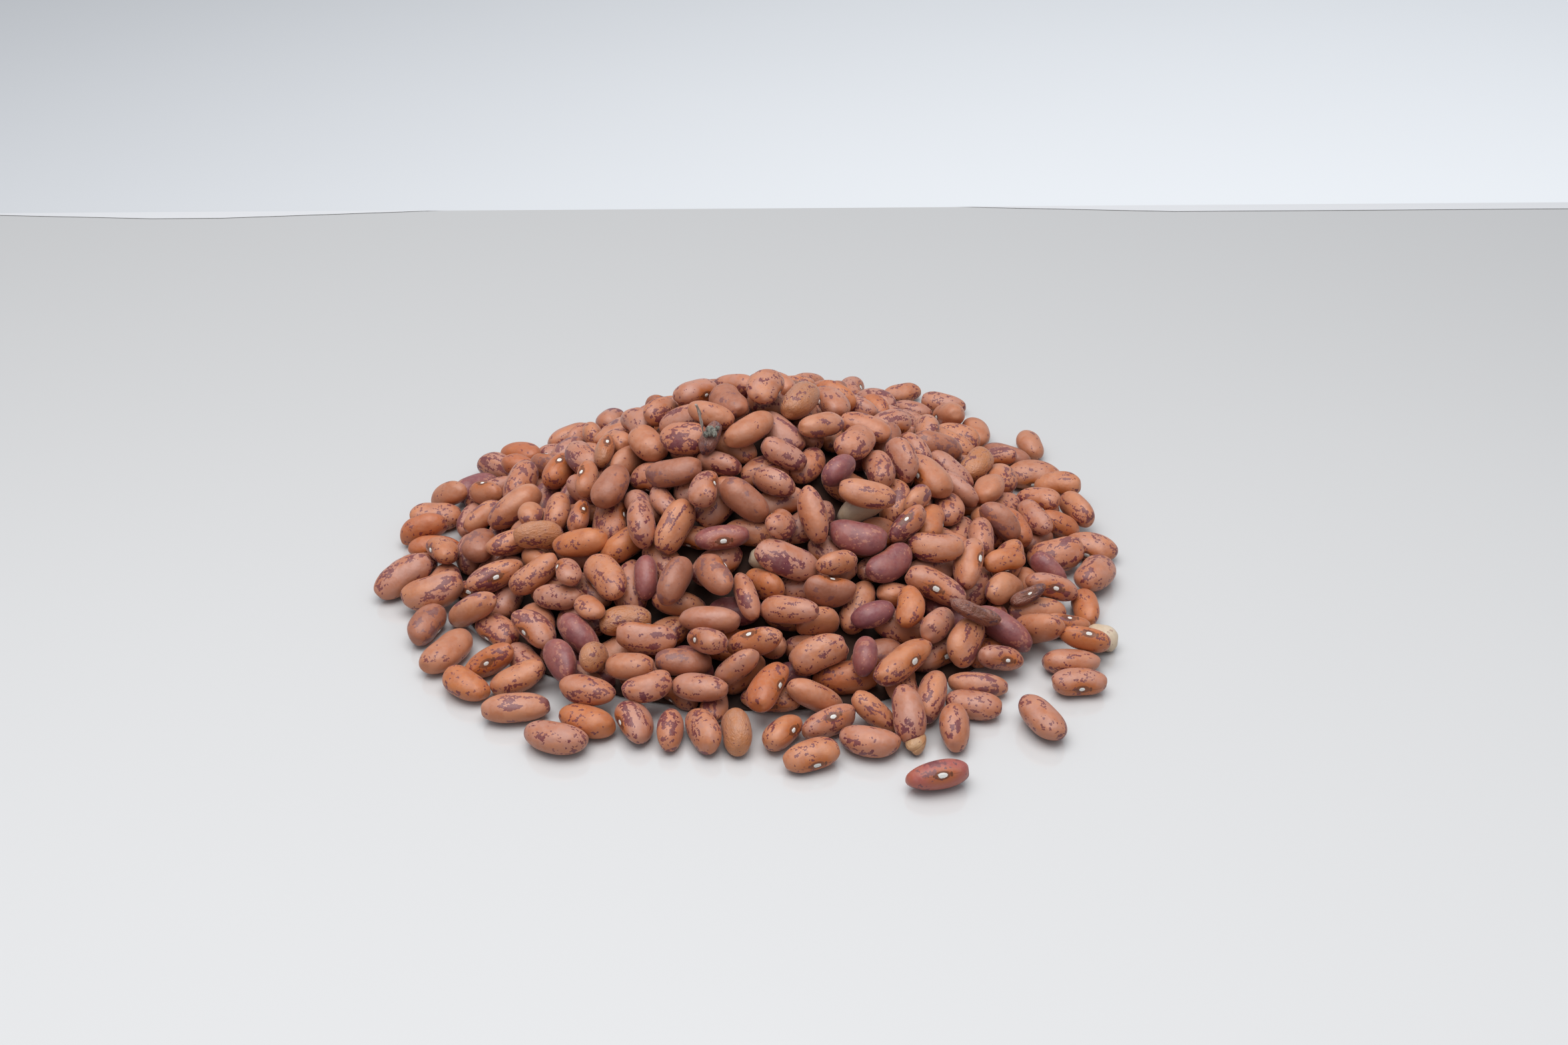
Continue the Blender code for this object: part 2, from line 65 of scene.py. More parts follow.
# Beans with a place of their own: x and y, the way the length points, the roll from flat, length, width,
# and the kind of skin
PICKED = (
    (14, -91, 20, -35, 12.7, 7.4, "finely_flecked"),
    (26, -87, -3, 160, 13.2, 7.8, "boldly_flecked"),
    (-42, -87, -22, 170, 14.3, 8.2, "finely_flecked"),
    (-51, -76, 0, 150, 14.7, 7.6, "banded"),
    (-35, -82, -25, 175, 13.0, 7.8, "orange"),
    (-25, -83, -63, -40, 12.2, 8.0, "streaked"),
    (-17, -84, 88, 90, 12.0, 6.6, "boldly_flecked"),
    (-10, -84, -74, 95, 13.0, 7.5, "finely_flecked"),
    (-2, -86, 92, 90, 11.6, 7.8, "wrinkled"),
    (7, -86, 62, -60, 11.5, 7.2, "streaked"),
    (17, -84, 23, -40, 13.0, 7.4, "finely_flecked"),
    (26, -79, -24, 150, 12.0, 6.8, "finely_flecked"),
    (-36, -77, -8, 165, 12.8, 7.6, "boldly_flecked"),
    (-11, -76, -28, 165, 13.0, 7.4, "finely_flecked"),
    (-21, -77, 20, 170, 11.0, 7.0, "boldly_flecked"),
    (44, -84, 82, 95, 12.4, 7.8, "boldly_flecked"),
    (-63, -68, -32, 150, 12.4, 7.6, "orange"),
    (-69, -56, 60, 160, 15.4, 8.2, "plain"),
    (-81, -11, -2, -40, 13.0, 6.9, "orange"),
    (74, -66, 0, -30, 12.4, 7.1, "finely_flecked"),
    (50, -76, -13, 160, 12.6, 7.2, "finely_flecked"),
    (51, -70, 3, 160, 13.4, 7.0, "banded"),
    (56, -62, 30, -30, 11.6, 6.9, "finely_flecked"),
    (73, -61, -5, 160, 13.0, 7.2, "streaked"),
    (81, -50, 0, 90, 7.6, 6.6, "cream"),
    (77, -56, -9, -30, 11.6, 6.6, "orange"),
    (76, 41, -80, 120, 11.7, 7.3, "plain"),
    (54, 66, -18, 150, 12.6, 6.9, "finely_flecked"),
    (43, 73, 15, 160, 10.9, 6.7, "finely_flecked"),
    (69, -50, -54, 140, 14.5, 8.0, "plain"),
    (60, -53, -38, 140, 15.0, 8.0, "maroon"),
    (39, -73, 74, 110, 14.1, 8.0, "streaked"),
    (-52, -65, 10, 165, 13.0, 7.4, "finely_flecked"),
    (-59, -60, 14, -35, 12.4, 7.6, "orange"),
    (-34, -69, 82, 90, 10.4, 7.2, "wrinkled"),
    (-26, -72, -20, 165, 10.8, 7.2, "plain"),
    (15, -76, 14, 160, 13.5, 7.6, "plain"),
    (5, -76, 61, -50, 14.3, 7.5, "orange"),
    (-16, -69, 2, 165, 12.8, 7.4, "brown"),
    (-2, -72, 2, 160, 11.6, 6.6, "finely_flecked"),
    (-10, -68, -57, -38, 13.2, 7.3, "streaked"),
    (25, -68, 84, 95, 11.2, 6.8, "maroon"),
    (0, -67, -7, -60, 12.8, 7.1, "finely_flecked"),
    (-42, -66, -57, 90, 12.6, 7.8, "maroon"),
    (34, -68, 54, -30, 17.3, 8.0, "streaked"),
    (42, -57, 63, 100, 12.6, 7.6, "finely_flecked"),
    (-9, -59, -18, 165, 14.1, 7.6, "banded"),
    (10, -55, -28, 150, 14.5, 7.5, "streaked"),
    (-49, -52, -43, -40, 13.0, 7.5, "boldly_flecked"),
    (-64, -44, -24, 165, 14.3, 7.8, "banded"),
    (28, -51, 26, 160, 10.7, 6.9, "maroon"),
    (-1, -53, -80, 90, 13.9, 6.2, "boldly_flecked"),
    (-17, -51, 82, 95, 13.7, 8.0, "brown"),
    (-23, -44, 94, 90, 10.9, 6.7, "maroon"),
    (43, -43, -14, -40, 14.9, 8.4, "boldly_flecked"),
    (71, -26, -40, 120, 10.9, 6.9, "maroon"),
    (-6, -38, 17, -35, 12.8, 6.9, "maroon"),
    (15, -34, -76, 92, 13.9, 8.0, "boldly_flecked"),
    (29, -27, -11, 160, 13.9, 7.6, "streaked"),
    (-50, -36, 27, 165, 13.0, 7.4, "finely_flecked"),
    (-41, -32, -12, 170, 13.7, 7.6, "orange"),
    (-47, -17, 85, 100, 12.4, 7.4, "finely_flecked"),
    (49, 6, -29, 160, 13.4, 7.6, "finely_flecked"),
    (-17, -33, 67, 100, 14.3, 8.2, "streaked"),
    (-2, -30, -31, 160, 13.9, 8.6, "brown"),
    (7, -26, -50, 120, 11.7, 7.5, "streaked"),
    (22, -23, 66, 100, 12.0, 7.3, "maroon"),
    (-19, -21, -8, 170, 14.3, 7.6, "brown"),
    (7, -19, -4, 165, 11.7, 7.1, "boldly_flecked"),
    (0, -12, 47, 130, 14.7, 7.8, "plain"),
    (17, -6, 50, 150, 13.2, 7.1, "banded"),
)

# How a bean is laid: how far it may be shaken from its start in x, y, yaw, pitch and roll, and how much
# of its skin has to clear the others
PICKED_REACH = (0.5, 0.5, 0.06, 0.2, 0.2)
FILL_REACH = (3, 3, math.pi, 0.22, math.pi)
SHAKE_LIMIT = (3, 3, 0.6, 0.25, 0.6)
SHAKE_SHRINK = 0.6
PICKED_SNUG, FILL_SNUG = 0.9, 0.97
OUTLINE_PULL = 0.75
COVER_COST = 30

# How the heap is filled: the spots tried, then the least room and the most height over the outline,
# for the bed under the picked beans and for the beans round them
SPOT_COUNT, SPOT_REACH = 6000, 100
SPOT_WIDTH, SPOT_CLOSED = 2.5, 1.6
BED_ROOM, BED_RISE = 8.0, -4.0
LAST_ROOM, LAST_RISE = 3.0, 2.2
CLEAR_ROOM = 6

# Beans that lie clear of the heap, in rows like those above
STRAYS = {
    "stray_bean_red": (40, -99, 14, -38, 13.8, 7.4),
    "stray_bean_speckled": (64, -80, -64, 150, 14.0, 8.2),
}


def outline_radius(bearing):
    """How far the heap's edge lies from under its top, for a bearing in radians: it has run to the front."""
    lean = 10.3 * np.cos(bearing + 1.33)
    oval = 3.5 * np.cos(2 * bearing - 0.7)
    lobes = 3.4 * np.cos(3 * bearing + 2.14)
    return HEAP_RADIUS + lean + oval + lobes


def heap_top(x, y):
    """The height of the heap's smooth outline: a rounded cone on a skirt one bean high."""
    reach = np.hypot(x, y) / outline_radius(np.arctan2(y, x))
    skirt, rounding, hollow = 0.94, 0.16, 1.2
    run = np.sqrt((reach / skirt) ** 2 + rounding**2) - rounding
    run /= math.sqrt(1 + rounding**2) - rounding
    crown = np.clip(1 - run, 0, 1) ** hollow
    return np.where(reach < 1, EDGE_HEIGHT + (HEAP_HEIGHT - EDGE_HEIGHT) * crown, 0.0)


def even_directions(count):
    """Unit directions spread evenly, in a spiral about X."""
    step = np.arange(count) + 0.5
    along = 1 - 2 * step / count
    around = step * math.pi * (3 - math.sqrt(5))
    ring = np.sqrt(1 - along**2)
    return np.stack([along, ring * np.cos(around), ring * np.sin(around)], axis=1)


CONTACT_DIRECTIONS = even_directions(170)
COVER_DIRECTIONS = even_directions(2200)


def bean_skin(directions, bean):
    """Points of a bean's skin: its length along X, its flat sides up and down, its eye towards -Y."""
    along = directions[:, 0]
    ring = np.hypot(directions[:, 1], directions[:, 2])
    reach = (np.abs(along) ** bean["blunt"] + ring ** bean["blunt"]) ** (-1 / bean["blunt"])
    x, y, z = (directions * reach[:, None]).T
    slim = 1 + bean["taper"] * x
    bow = bean["bend"] * (0.35 - x**2)
    eye = np.exp(-((x / 0.22) ** 2)) * np.clip(-directions[:, 1], 0, 1) ** 3
    y = y * slim + bow + bean["hollow"] * eye
    sides = (bean["length"], bean["width"], bean["thickness"])
    return np.stack([x, y, z * slim], axis=1) * sides / 2


def turn_matrices(yaw, pitch, roll):
    """One rotation matrix for each yaw, pitch and roll, rolled first and yawed last."""
    cy, sy, cp, sp, cr, sr = (f(a) for a in (yaw, pitch, roll) for f in (np.cos, np.sin))
    rows = (
        (cy * cp, cy * sp * sr - sy * cr, cy * sp * cr + sy * sr),
        (sy * cp, sy * sp * sr + cy * cr, sy * sp * cr - cy * sr),
        (-sp, cp * sr, cp * cr),
    )
    return np.moveaxis(np.array(rows), 2, 0)


def random_bean(draw):
    """A bean's measures, drawn about the mean bean."""
    size = np.clip(draw.normal(1, SIZE_SPREAD), *SIZE_RANGE)
    return {
        "length": BEAN_LENGTH * size * np.clip(draw.normal(1, 0.06), 0.88, 1.12),
        "width": BEAN_WIDTH * size * np.clip(draw.normal(1, 0.05), 0.9, 1.1),
        "thickness": BEAN_THICKNESS * size * np.clip(draw.normal(1, 0.05), 0.86, 1.1),
        "blunt": draw.uniform(2.15, 2.9),
        "taper": draw.uniform(-0.1, 0.1),
        "bend": draw.uniform(0.02, 0.24),
        "hollow": 0.08,
    }


def bean_of_size(draw, length, width):
    """A bean of the stated length and width, with the rest of its shape drawn."""
    thickness = width * BEAN_THICKNESS / BEAN_WIDTH
    return dict(random_bean(draw), length=length, width=width, thickness=thickness)


class Table:
    """The table's columns: how high each is filled, and by which bean."""

    def __init__(self):
        self.side = int(2 * HALF_SIDE / COLUMN)
        at = (np.arange(self.side) + 0.5) * COLUMN - HALF_SIDE
        self.target = heap_top(*np.meshgrid(at, at, indexing="ij"))
        self.height = np.maximum(self.target - BED_DEPTH, 0)
        self.kept_clear = np.zeros(self.target.shape)
        self.beans = []

    def columns(self, x, y):
        last = self.side - 1
        return tuple(np.clip(((v + HALF_SIDE) / COLUMN).astype(int), 0, last) for v in (x, y))

    def rest_heights(self, bean, poses, snug):
        """How high each pose's centre comes to rest, and the share of it over picked beans."""
        skin = bean_skin(CONTACT_DIRECTIONS, bean) * snug
        turns = turn_matrices(*poses[:, 2:].T)
        points = (skin @ turns.reshape(-1, 3).T).reshape(len(skin), len(poses), 3)
        at = self.columns(points[:, :, 0] + poses[:, 0], points[:, :, 1] + poses[:, 1])
        rest = (self.height[at] - points[:, :, 2]).max(axis=0)
        on_table = -points[:, :, 2].min(axis=0) / snug
        return np.maximum(rest, on_table), self.kept_clear[at].mean(axis=0)

    def settle(self, bean, start, reach, draw, snug, tries=48, rounds=5):
        """Shakes a bean down from its start, and gives its pose, rest height and top above the outline."""
        poses = start + draw.normal(0, 1, (tries, 5)) * reach
        lowest = np.inf
        for number in range(rounds):
            rest, covered = self.rest_heights(bean, poses, snug)
            outline = self.target[self.columns(poses[:, 0], poses[:, 1])]
            cost = rest - OUTLINE_PULL * outline + COVER_COST * covered
            best = int(np.argmin(cost))
            if cost[best] < lowest:
                lowest = cost[best]
                found = poses[best].copy(), rest[best], rest[best] - outline[best]
            narrower = np.minimum(reach, SHAKE_LIMIT) * SHAKE_SHRINK ** (number + 1)
            poses = found[0] + draw.normal(0, 1, (tries, 5)) * narrower
        pose, rest, above = found
        return pose, rest, above + bean["thickness"] / 2

    def add(self, bean, pose, rest, kind=None):
        """Leaves a bean at its pose and raises the columns that it covers."""
        turn = turn_matrices(*pose[2:, None])[0]
        bean = dict(bean, turn=turn, place=np.array([pose[0], pose[1], rest]), kind=kind)
        skin = bean_skin(COVER_DIRECTIONS, bean) @ turn.T + bean["place"]
        skin = skin[np.argsort(skin[:, 2])]
        ix, iy = self.columns(skin[:, 0], skin[:, 1])
        patch = np.full((ix.max() - ix.min() + 1, iy.max() - iy.min() + 1), -1.0)
        patch[ix - ix.min(), iy - iy.min()] = skin[:, 2]
        under = (slice(ix.min(), ix.max() + 1), slice(iy.min(), iy.max() + 1))
        higher = patch > self.height[under]
        self.height[under][higher] = patch[higher]
        if kind is not None:
            self.kept_clear[under][higher] = 1
        self.beans.append(bean)

    def fill(self, least_room, most_above, spots, draw):
        """Lays beans into the deepest spots until none has room for one under the outline."""
        about = SPOT_WIDTH * np.array([(0, 0), (1, 0), (-1, 0), (0, 1), (0, -1)])
        around = self.columns(*np.moveaxis(spots[:, None] + about, 2, 0))
        middle = self.columns(*spots.T)
        chance = draw.normal(0, 0.8, len(spots))
        still_open = np.ones(len(spots), bool)
        anywhere = np.array(FILL_REACH)
        while True:
            room = (self.target[around] - self.height[around]).mean(axis=1)
            room -= CLEAR_ROOM * self.kept_clear[middle]
            still_open &= room > least_room
            if not still_open.any():
                return
            spot = int(np.argmax(np.where(still_open, room + chance, -np.inf)))
            bean = random_bean(draw)
            start = np.array([*spots[spot], 0, 0, 0])
            pose, rest, above = self.settle(bean, start, anywhere, draw, FILL_SNUG)
            if above > most_above:
                still_open[np.hypot(*(spots - spots[spot]).T) < SPOT_CLOSED] = False
                continue
            self.add(bean, pose, rest)

    def place(self, row, draw, kind, reach=PICKED_REACH):
        """Lays a bean as near its row as the beans below let it lie."""
        x, y, yaw, roll, length, width = row
        bean = bean_of_size(draw, length, width)
        start = np.array([x, y, math.radians(yaw), 0, math.radians(roll)])
        pose, rest, _ = self.settle(bean, start, np.array(reach), draw, PICKED_SNUG)
        self.add(bean, pose, rest, kind)


def lay_heap():
    """The table with every bean of the heap: first a bed, then the picked beans, then the rest."""
    draw = np.random.default_rng(DRAW_SEED)
    table = Table()
    spots = draw.uniform(-SPOT_REACH, SPOT_REACH, (SPOT_COUNT, 2))
    spots = spots[heap_top(*spots.T) > 0]
    table.fill(BED_ROOM, BED_RISE, spots, draw)
    for *row, kind in PICKED:
        table.place(row, draw, kind)
    table.fill(LAST_ROOM, LAST_RISE, spots, draw)
    return table


def lay_stray(row, draw):
    """A bean that lies by itself on the table, from its row in STRAYS."""
    x, y, yaw, roll, length, width = row
    bean = bean_of_size(draw, length, width)
    turn = turn_matrices(*(np.radians([angle]) for angle in (yaw, 0, roll)))[0]
    lowest = (bean_skin(COVER_DIRECTIONS, bean) @ turn.T)[:, 2].min()
    return dict(bean, turn=turn, place=np.array([x, y, -lowest]))


def offset_from_solid(bean, node):
    """How far the solid heap was moved, in millimetres, from where the beans are laid."""
    skin = bean_skin(COVER_DIRECTIONS, bean) @ bean["turn"].T + bean["place"]
    low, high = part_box(node)
    middle = (np.array(low) + np.array(high)) / 2 / MM
    return (middle - (skin.min(axis=0) + skin.max(axis=0)) / 2)[:2]


table = lay_heap()
heap_beans = list(table.beans)
stray_draw = np.random.default_rng(DRAW_SEED)
stray_beans = {name: lay_stray(row, stray_draw) for name, row in STRAYS.items()}
offset = np.mean([offset_from_solid(bean, name) for name, bean in stray_beans.items()], axis=0)
HEAP_SHIFT = np.array([*offset, 0.0])

# The bean itself: a kidney-shaped seed in a thin, dull, leathery skin that has dried unevenly.
# One cage of a few dozen faces is bent to each bean's own measures, all beans of a kind are joined into one
# mesh, and a subdivision rounds them off. Each bean keeps a cell of the map OFBake to itself.
CAGE_SIDES = 8
CAGE_RINGS = 6
skin_draw = np.random.default_rng(29)


def bean_cage():
    """The cage: its corners as directions from the middle, its faces, and a map of one whole bean."""
    ball = bmesh.new()
    ball.loops.layers.uv.new("OFBake")
    sides = {"u_segments": CAGE_SIDES, "v_segments": CAGE_RINGS}
    bmesh.ops.create_uvsphere(ball, radius=1, calc_uvs=True, **sides)
    for vert in ball.verts:
        vert.co = vert.co.zxy
    mesh = bpy.data.meshes.new("bean_cage")
    ball.to_mesh(mesh)
    ball.free()
    corners = np.array([vert.co[:] for vert in mesh.vertices])
    faces = [tuple(face.vertices) for face in mesh.polygons]
    chart = np.array([loop.uv[:] for loop in mesh.uv_layers["OFBake"].data])
    return corners, faces, chart, mesh


def let_out(mesh):
    """The matrix that moves a cage's corners out, so that the rounded skin passes through where they were."""
    probe = bpy.data.objects.new("probe", mesh)
    bpy.context.scene.collection.objects.link(probe)
    rounded(probe, 2)
    count = len(mesh.vertices)
    pull = []
    for first in range(0, count, 3):
        marked = np.eye(count)[:, first : first + 3]
        mesh.vertices.foreach_set("co", marked.astype(np.float32).ravel())
        mesh.update()
        graph = bpy.context.evaluated_depsgraph_get()
        fine = probe.evaluated_get(graph).data.vertices
        pull.append(np.array([vert.co[:] for vert in fine]))
    bpy.data.objects.remove(probe)
    pull = np.concatenate(pull, axis=1)
    return np.linalg.inv(pull[np.argmax(pull, axis=0)])


def rounded(piece, levels):
    """Rounds a piece with a live subdivision."""
    finish = piece.modifiers.new("rounded", "SUBSURF")
    finish.levels = levels
    finish.render_levels = levels


def uneven(directions):
    """The slow swells and dips of a dried skin, as a factor for each direction."""
    waves = skin_draw.normal(0, 2.4, (5, 3))
    phases = skin_draw.uniform(0, 2 * math.pi, 5)
    return 1 + 0.015 * np.sin(directions @ waves.T + phases).sum(axis=1)


def joined_piece(name, sets, faces, chart, attributes):
    """One mesh from many copies of a cage. Each copy has its own corners and its own cell of the map."""
    count = len(sets)
    per_copy = len(sets[0])
    firsts = range(0, per_copy * count, per_copy)
    all_faces = [tuple(first + corner for corner in face) for first in firsts for face in faces]
    mesh = bpy.data.meshes.new(name)
    mesh.from_pydata(np.concatenate(sets) * MM, [], all_faces)
    cells = math.ceil(math.sqrt(count))
    copy = np.arange(count)
    cell = np.stack([copy % cells, copy // cells], axis=1)
    placed = (cell[:, None] + 0.04 + 0.92 * chart[None]) / cells
    layer = mesh.uv_layers.new(name="OFBake")
    layer.data.foreach_set("uv", placed.astype(np.float32).ravel())
    for key, values in attributes.items():
        kind = "FLOAT_VECTOR" if values.ndim == 2 else "FLOAT"
        field = "vector" if values.ndim == 2 else "value"
        made = mesh.attributes.new(key, kind, "POINT")
        made.data.foreach_set(field, values.astype(np.float32).ravel())
    mesh.shade_smooth()
    piece = bpy.data.objects.new(name, mesh)
    bpy.context.scene.collection.objects.link(piece)
    return piece


CAGE, CAGE_FACES, CAGE_CHART, cage_mesh = bean_cage()
LET_OUT = let_out(cage_mesh)


def nearest_corner(direction):
    """The number of the cage's corner that lies furthest towards a direction."""
    return int(np.argmax(CAGE @ np.array(direction) / np.linalg.norm(direction)))


EYE_CORNER = nearest_corner((0, -1, 0))


def plump(bean):
    """A bean's corners in its own frame, in millimetres."""
    return bean_skin(CAGE, bean) * uneven(CAGE)[:, None]


def bean_corners(bean, form=plump):
    """A bean's cage where it lies, and the same corners in its own frame, in millimetres."""
    own = form(bean)
    laid = LET_OUT @ own @ bean["turn"].T + bean["place"] + HEAP_SHIFT
    return laid, own


def beans_piece(name, beans, material, node, form=plump):
    """All the beans of one kind as one piece that stands for its solid."""
    sets = []
    from_eye = []
    for bean in beans:
        laid, own = bean_corners(bean, form)
        bean["laid"] = laid
        sets.append(laid)
        from_eye.append(own - own[EYE_CORNER])
    per_copy = len(CAGE)
    attributes = {
        "from_eye": np.concatenate(from_eye),
        "bean_number": np.repeat(skin_draw.uniform(0, 40, len(beans)), per_copy),
        "tone": np.repeat(skin_draw.uniform(0, 1, len(beans)), per_copy),
    }
    piece = joined_piece(name, sets, CAGE_FACES, CAGE_CHART, attributes)
    rounded(piece, 2)
    piece.data.materials.append(material)
    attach(piece, "root")
    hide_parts(node)
    return piece


# The skin: a thin leathery coat with a tan ground, plum flecks, an orange glow and dark marks round the
# eye, painted shade in burnt tan on its downward faces, and dust on its upper side that is also a painted
# sheen. Its flecks and its relief are groups that every kind shares.
HALO_ORANGE = (0.42, 0.105, 0.016, 1)
MARK_BROWN = (0.120, 0.031, 0.009, 1)
# The colour of the dust on the upper faces, which also stands for a painted sheen there.
DUST_AND_SHEEN_TAN = (0.40, 0.25, 0.21, 1)
SHEEN_TINT = (0.84, 0.72, 0.76, 1)


def nodes_of(tree):
    """Two short ways to build a node tree: add a node with its settings, and link a value to a socket."""

    def add(kind, **settings):
        node = tree.nodes.new("ShaderNode" + kind)
        for key, value in settings.items():
            setattr(node, key, value)
        return node

    def put(node, socket, value):
        target = node.inputs[socket]
        if isinstance(value, bpy.types.NodeSocket):
            tree.links.new(value, target)
        else:
            target.default_value = value

    return add, put


def maths(tree, operation, first, second=0.0, third=0.0):
    """A Math node's result."""
    add, put = nodes_of(tree)
    node = add("Math", operation=operation)
    for socket, value in enumerate((first, second, third)):
        put(node, socket, value)
    return node.outputs[0]


def ramped(tree, value, start, end, low=0.0, high=1.0):
    """A smooth step from low at start to high at end."""
    add, put = nodes_of(tree)
    node = add("MapRange", interpolation_type="SMOOTHSTEP")
    for socket, number in enumerate((value, start, end, low, high)):
        put(node, socket, number)
    return node.outputs[0]


def stretched(tree, vector, scale):
    """A vector times a plain one."""
    add, put = nodes_of(tree)
    node = add("VectorMath", operation="MULTIPLY")
    put(node, 0, vector)
    put(node, 1, scale)
    return node.outputs[0]


def length_of(tree, vector):
    """A vector's length."""
    add, put = nodes_of(tree)
    node = add("VectorMath", operation="LENGTH")
    put(node, 0, vector)
    return node.outputs["Value"]


def moved(tree, vector, by):
    """A vector moved by another."""
    add, put = nodes_of(tree)
    node = add("VectorMath", operation="ADD")
    put(node, 0, vector)
    put(node, 1, by)
    return node.outputs[0]


def noise(tree, vector, scale, detail=2.0, roughness=0.5):
    """A grey noise at a vector."""
    add, put = nodes_of(tree)
    node = add("TexNoise")
    put(node, "Vector", vector)
    put(node, "Scale", scale)
    put(node, "Detail", detail)
    put(node, "Roughness", roughness)
    return node.outputs["Fac"]


def mixed(tree, share, first, second):
    """A mix of two colours."""
    add, put = nodes_of(tree)
    node = add("Mix", data_type="RGBA")
    put(node, 0, share)
    put(node, 6, first)
    put(node, 7, second)
    return node.outputs[2]


def group_sockets(tree, inputs, outputs):
    """A new group's named sockets, and its two end nodes."""
    for name, kind in inputs:
        tree.interface.new_socket(name, in_out="INPUT", socket_type=kind)
    for name, kind in outputs:
        tree.interface.new_socket(name, in_out="OUTPUT", socket_type=kind)
    return tree.nodes.new("NodeGroupInput"), tree.nodes.new("NodeGroupOutput")


def seed_markings():
    """The group that every skin shares: flecks in the bean's own frame, and the marks round its eye."""
    tree = bpy.data.node_groups.new("seed_markings", "ShaderNodeTree")
    vector, value = "NodeSocketVector", "NodeSocketFloat"
    inputs = (("From Eye", vector), ("Number", value), ("Stretch", vector), ("Coverage", value))
    outputs = (("Flecks", value), ("Halo", value), ("Dark Marks", value), ("Mottle", value))
    start, end = group_sockets(tree, inputs, outputs)
    add, put = nodes_of(tree)
    from_eye = start.outputs["From Eye"]
    apart = add("CombineXYZ")
    for socket, pace in enumerate((7.31, 3.17, 5.71)):
        put(apart, socket, maths(tree, "MULTIPLY", start.outputs["Number"], pace))
    own = moved(tree, from_eye, apart.outputs[0])
    place = stretched(tree, own, start.outputs["Stretch"])
    blocks = add("TexVoronoi", feature="F1")
    put(blocks, "Vector", own)
    put(blocks, "Scale", 2.6)
    angular = add("Mix", data_type="VECTOR")
    put(angular, 0, 0.8)
    put(angular, 4, own)
    put(angular, 5, blocks.outputs["Position"])
    angular = stretched(tree, angular.outputs[1], start.outputs["Stretch"])
    spots = noise(tree, angular, 1.3, 2.5, 0.55)
    region = noise(tree, moved(tree, place, (9.0, 4.0, 2.0)), 0.33, 1.0, 0.5)
    line = maths(tree, "MULTIPLY_ADD", start.outputs["Coverage"], -0.3, 0.78)
    line = maths(tree, "MULTIPLY_ADD", maths(tree, "SUBTRACT", region, 0.5), -0.75, line)
    over = maths(tree, "SUBTRACT", spots, line)
    put(end, "Flecks", ramped(tree, over, -0.003, 0.008))
    put(end, "Mottle", noise(tree, moved(tree, place, (3.0, 8.0, 1.0)), 0.5, 3.0, 0.6))
    halo = length_of(tree, stretched(tree, from_eye, (0.36, 0.45, 0.72)))
    halo = maths(tree, "MULTIPLY_ADD", region, 0.8, halo)
    put(end, "Halo", ramped(tree, halo, 1.05, 2.2, 1.0, 0.0))
    ring = length_of(tree, stretched(tree, from_eye, (0.68, 0.55, 1.27)))
    marks = ramped(tree, ring, 1.0, 1.25, 0.85, 0.0)
    for x, z, size in ((1.9, 0.18, 0.36), (1.9, -0.18, 0.36), (-1.75, 0.0, 0.28)):
        dot = length_of(tree, stretched(tree, moved(tree, from_eye, (-x, 0.0, -z)), (1.0, 0.3, 1.0)))
        marks = maths(tree, "MAXIMUM", marks, ramped(tree, dot, size * 0.7, size, 1.0, 0.0))
    parts = add("SeparateXYZ")
    put(parts, 0, from_eye)
    side = maths(tree, "ABSOLUTE", parts.outputs[2])
    seam = ramped(tree, side, 0.04, 0.16, 0.4, 0.0)
    reach = ramped(tree, maths(tree, "ABSOLUTE", parts.outputs[0]), 2.4, 5.5, 1.0, 0.0)
    front = ramped(tree, parts.outputs[1], 1.5, 3.0, 1.0, 0.0)
    seam = maths(tree, "MULTIPLY", maths(tree, "MULTIPLY", seam, reach), front)
    put(end, "Dark Marks", maths(tree, "MAXIMUM", marks, seam))
    return tree


MARKINGS = seed_markings()


def seed_relief():
    """The group for what light catches on a dried skin: fine pores over slow dents, as a height."""
    tree = bpy.data.node_groups.new("seed_relief", "ShaderNodeTree")
    vector, value = "NodeSocketVector", "NodeSocketFloat"
    inputs = (("From Eye", vector), ("Number", value), ("Wrinkle", value))
    start, end = group_sockets(tree, inputs, (("Height", value), ("Dust", value), ("Tan", value)))
    add, put = nodes_of(tree)
    apart = add("CombineXYZ")
    for socket, pace in enumerate((2.9, 8.3, 4.7)):
        put(apart, socket, maths(tree, "MULTIPLY", start.outputs["Number"], pace))
    place = moved(tree, start.outputs["From Eye"], apart.outputs[0])
    pores = noise(tree, place, 3.6, 4.0, 0.65)
    dents = noise(tree, place, 0.42, 2.0, 0.5)
    folds = noise(tree, stretched(tree, place, (0.5, 1.0, 1.3)), 1.0, 3.0, 0.6)
    folds = maths(tree, "MULTIPLY", maths(tree, "ABSOLUTE", maths(tree, "SUBTRACT", folds, 0.5)), 3.0)
    folds = maths(tree, "MULTIPLY", folds, start.outputs["Wrinkle"])
    height = maths(tree, "MULTIPLY_ADD", pores, 0.10, maths(tree, "MULTIPLY", dents, 0.8))
    put(end, "Height", maths(tree, "ADD", height, folds))
    put(end, "Dust", ramped(tree, noise(tree, place, 0.9, 5.0, 0.72), 0.36, 0.68))
    clouds = noise(tree, moved(tree, place, (6.0, 2.0, 9.0)), 0.22, 3.0, 0.6)
    put(end, "Tan", ramped(tree, clouds, 0.42, 0.66))
    return tree


RELIEF = seed_relief()


def grouped(tree, group, **inputs):
    """A group placed in a material with its own values."""
    add, put = nodes_of(tree)
    node = add("Group", node_tree=group)
    for name, value in inputs.items():
        put(node, name.replace("_", " "), value)
    return node.outputs


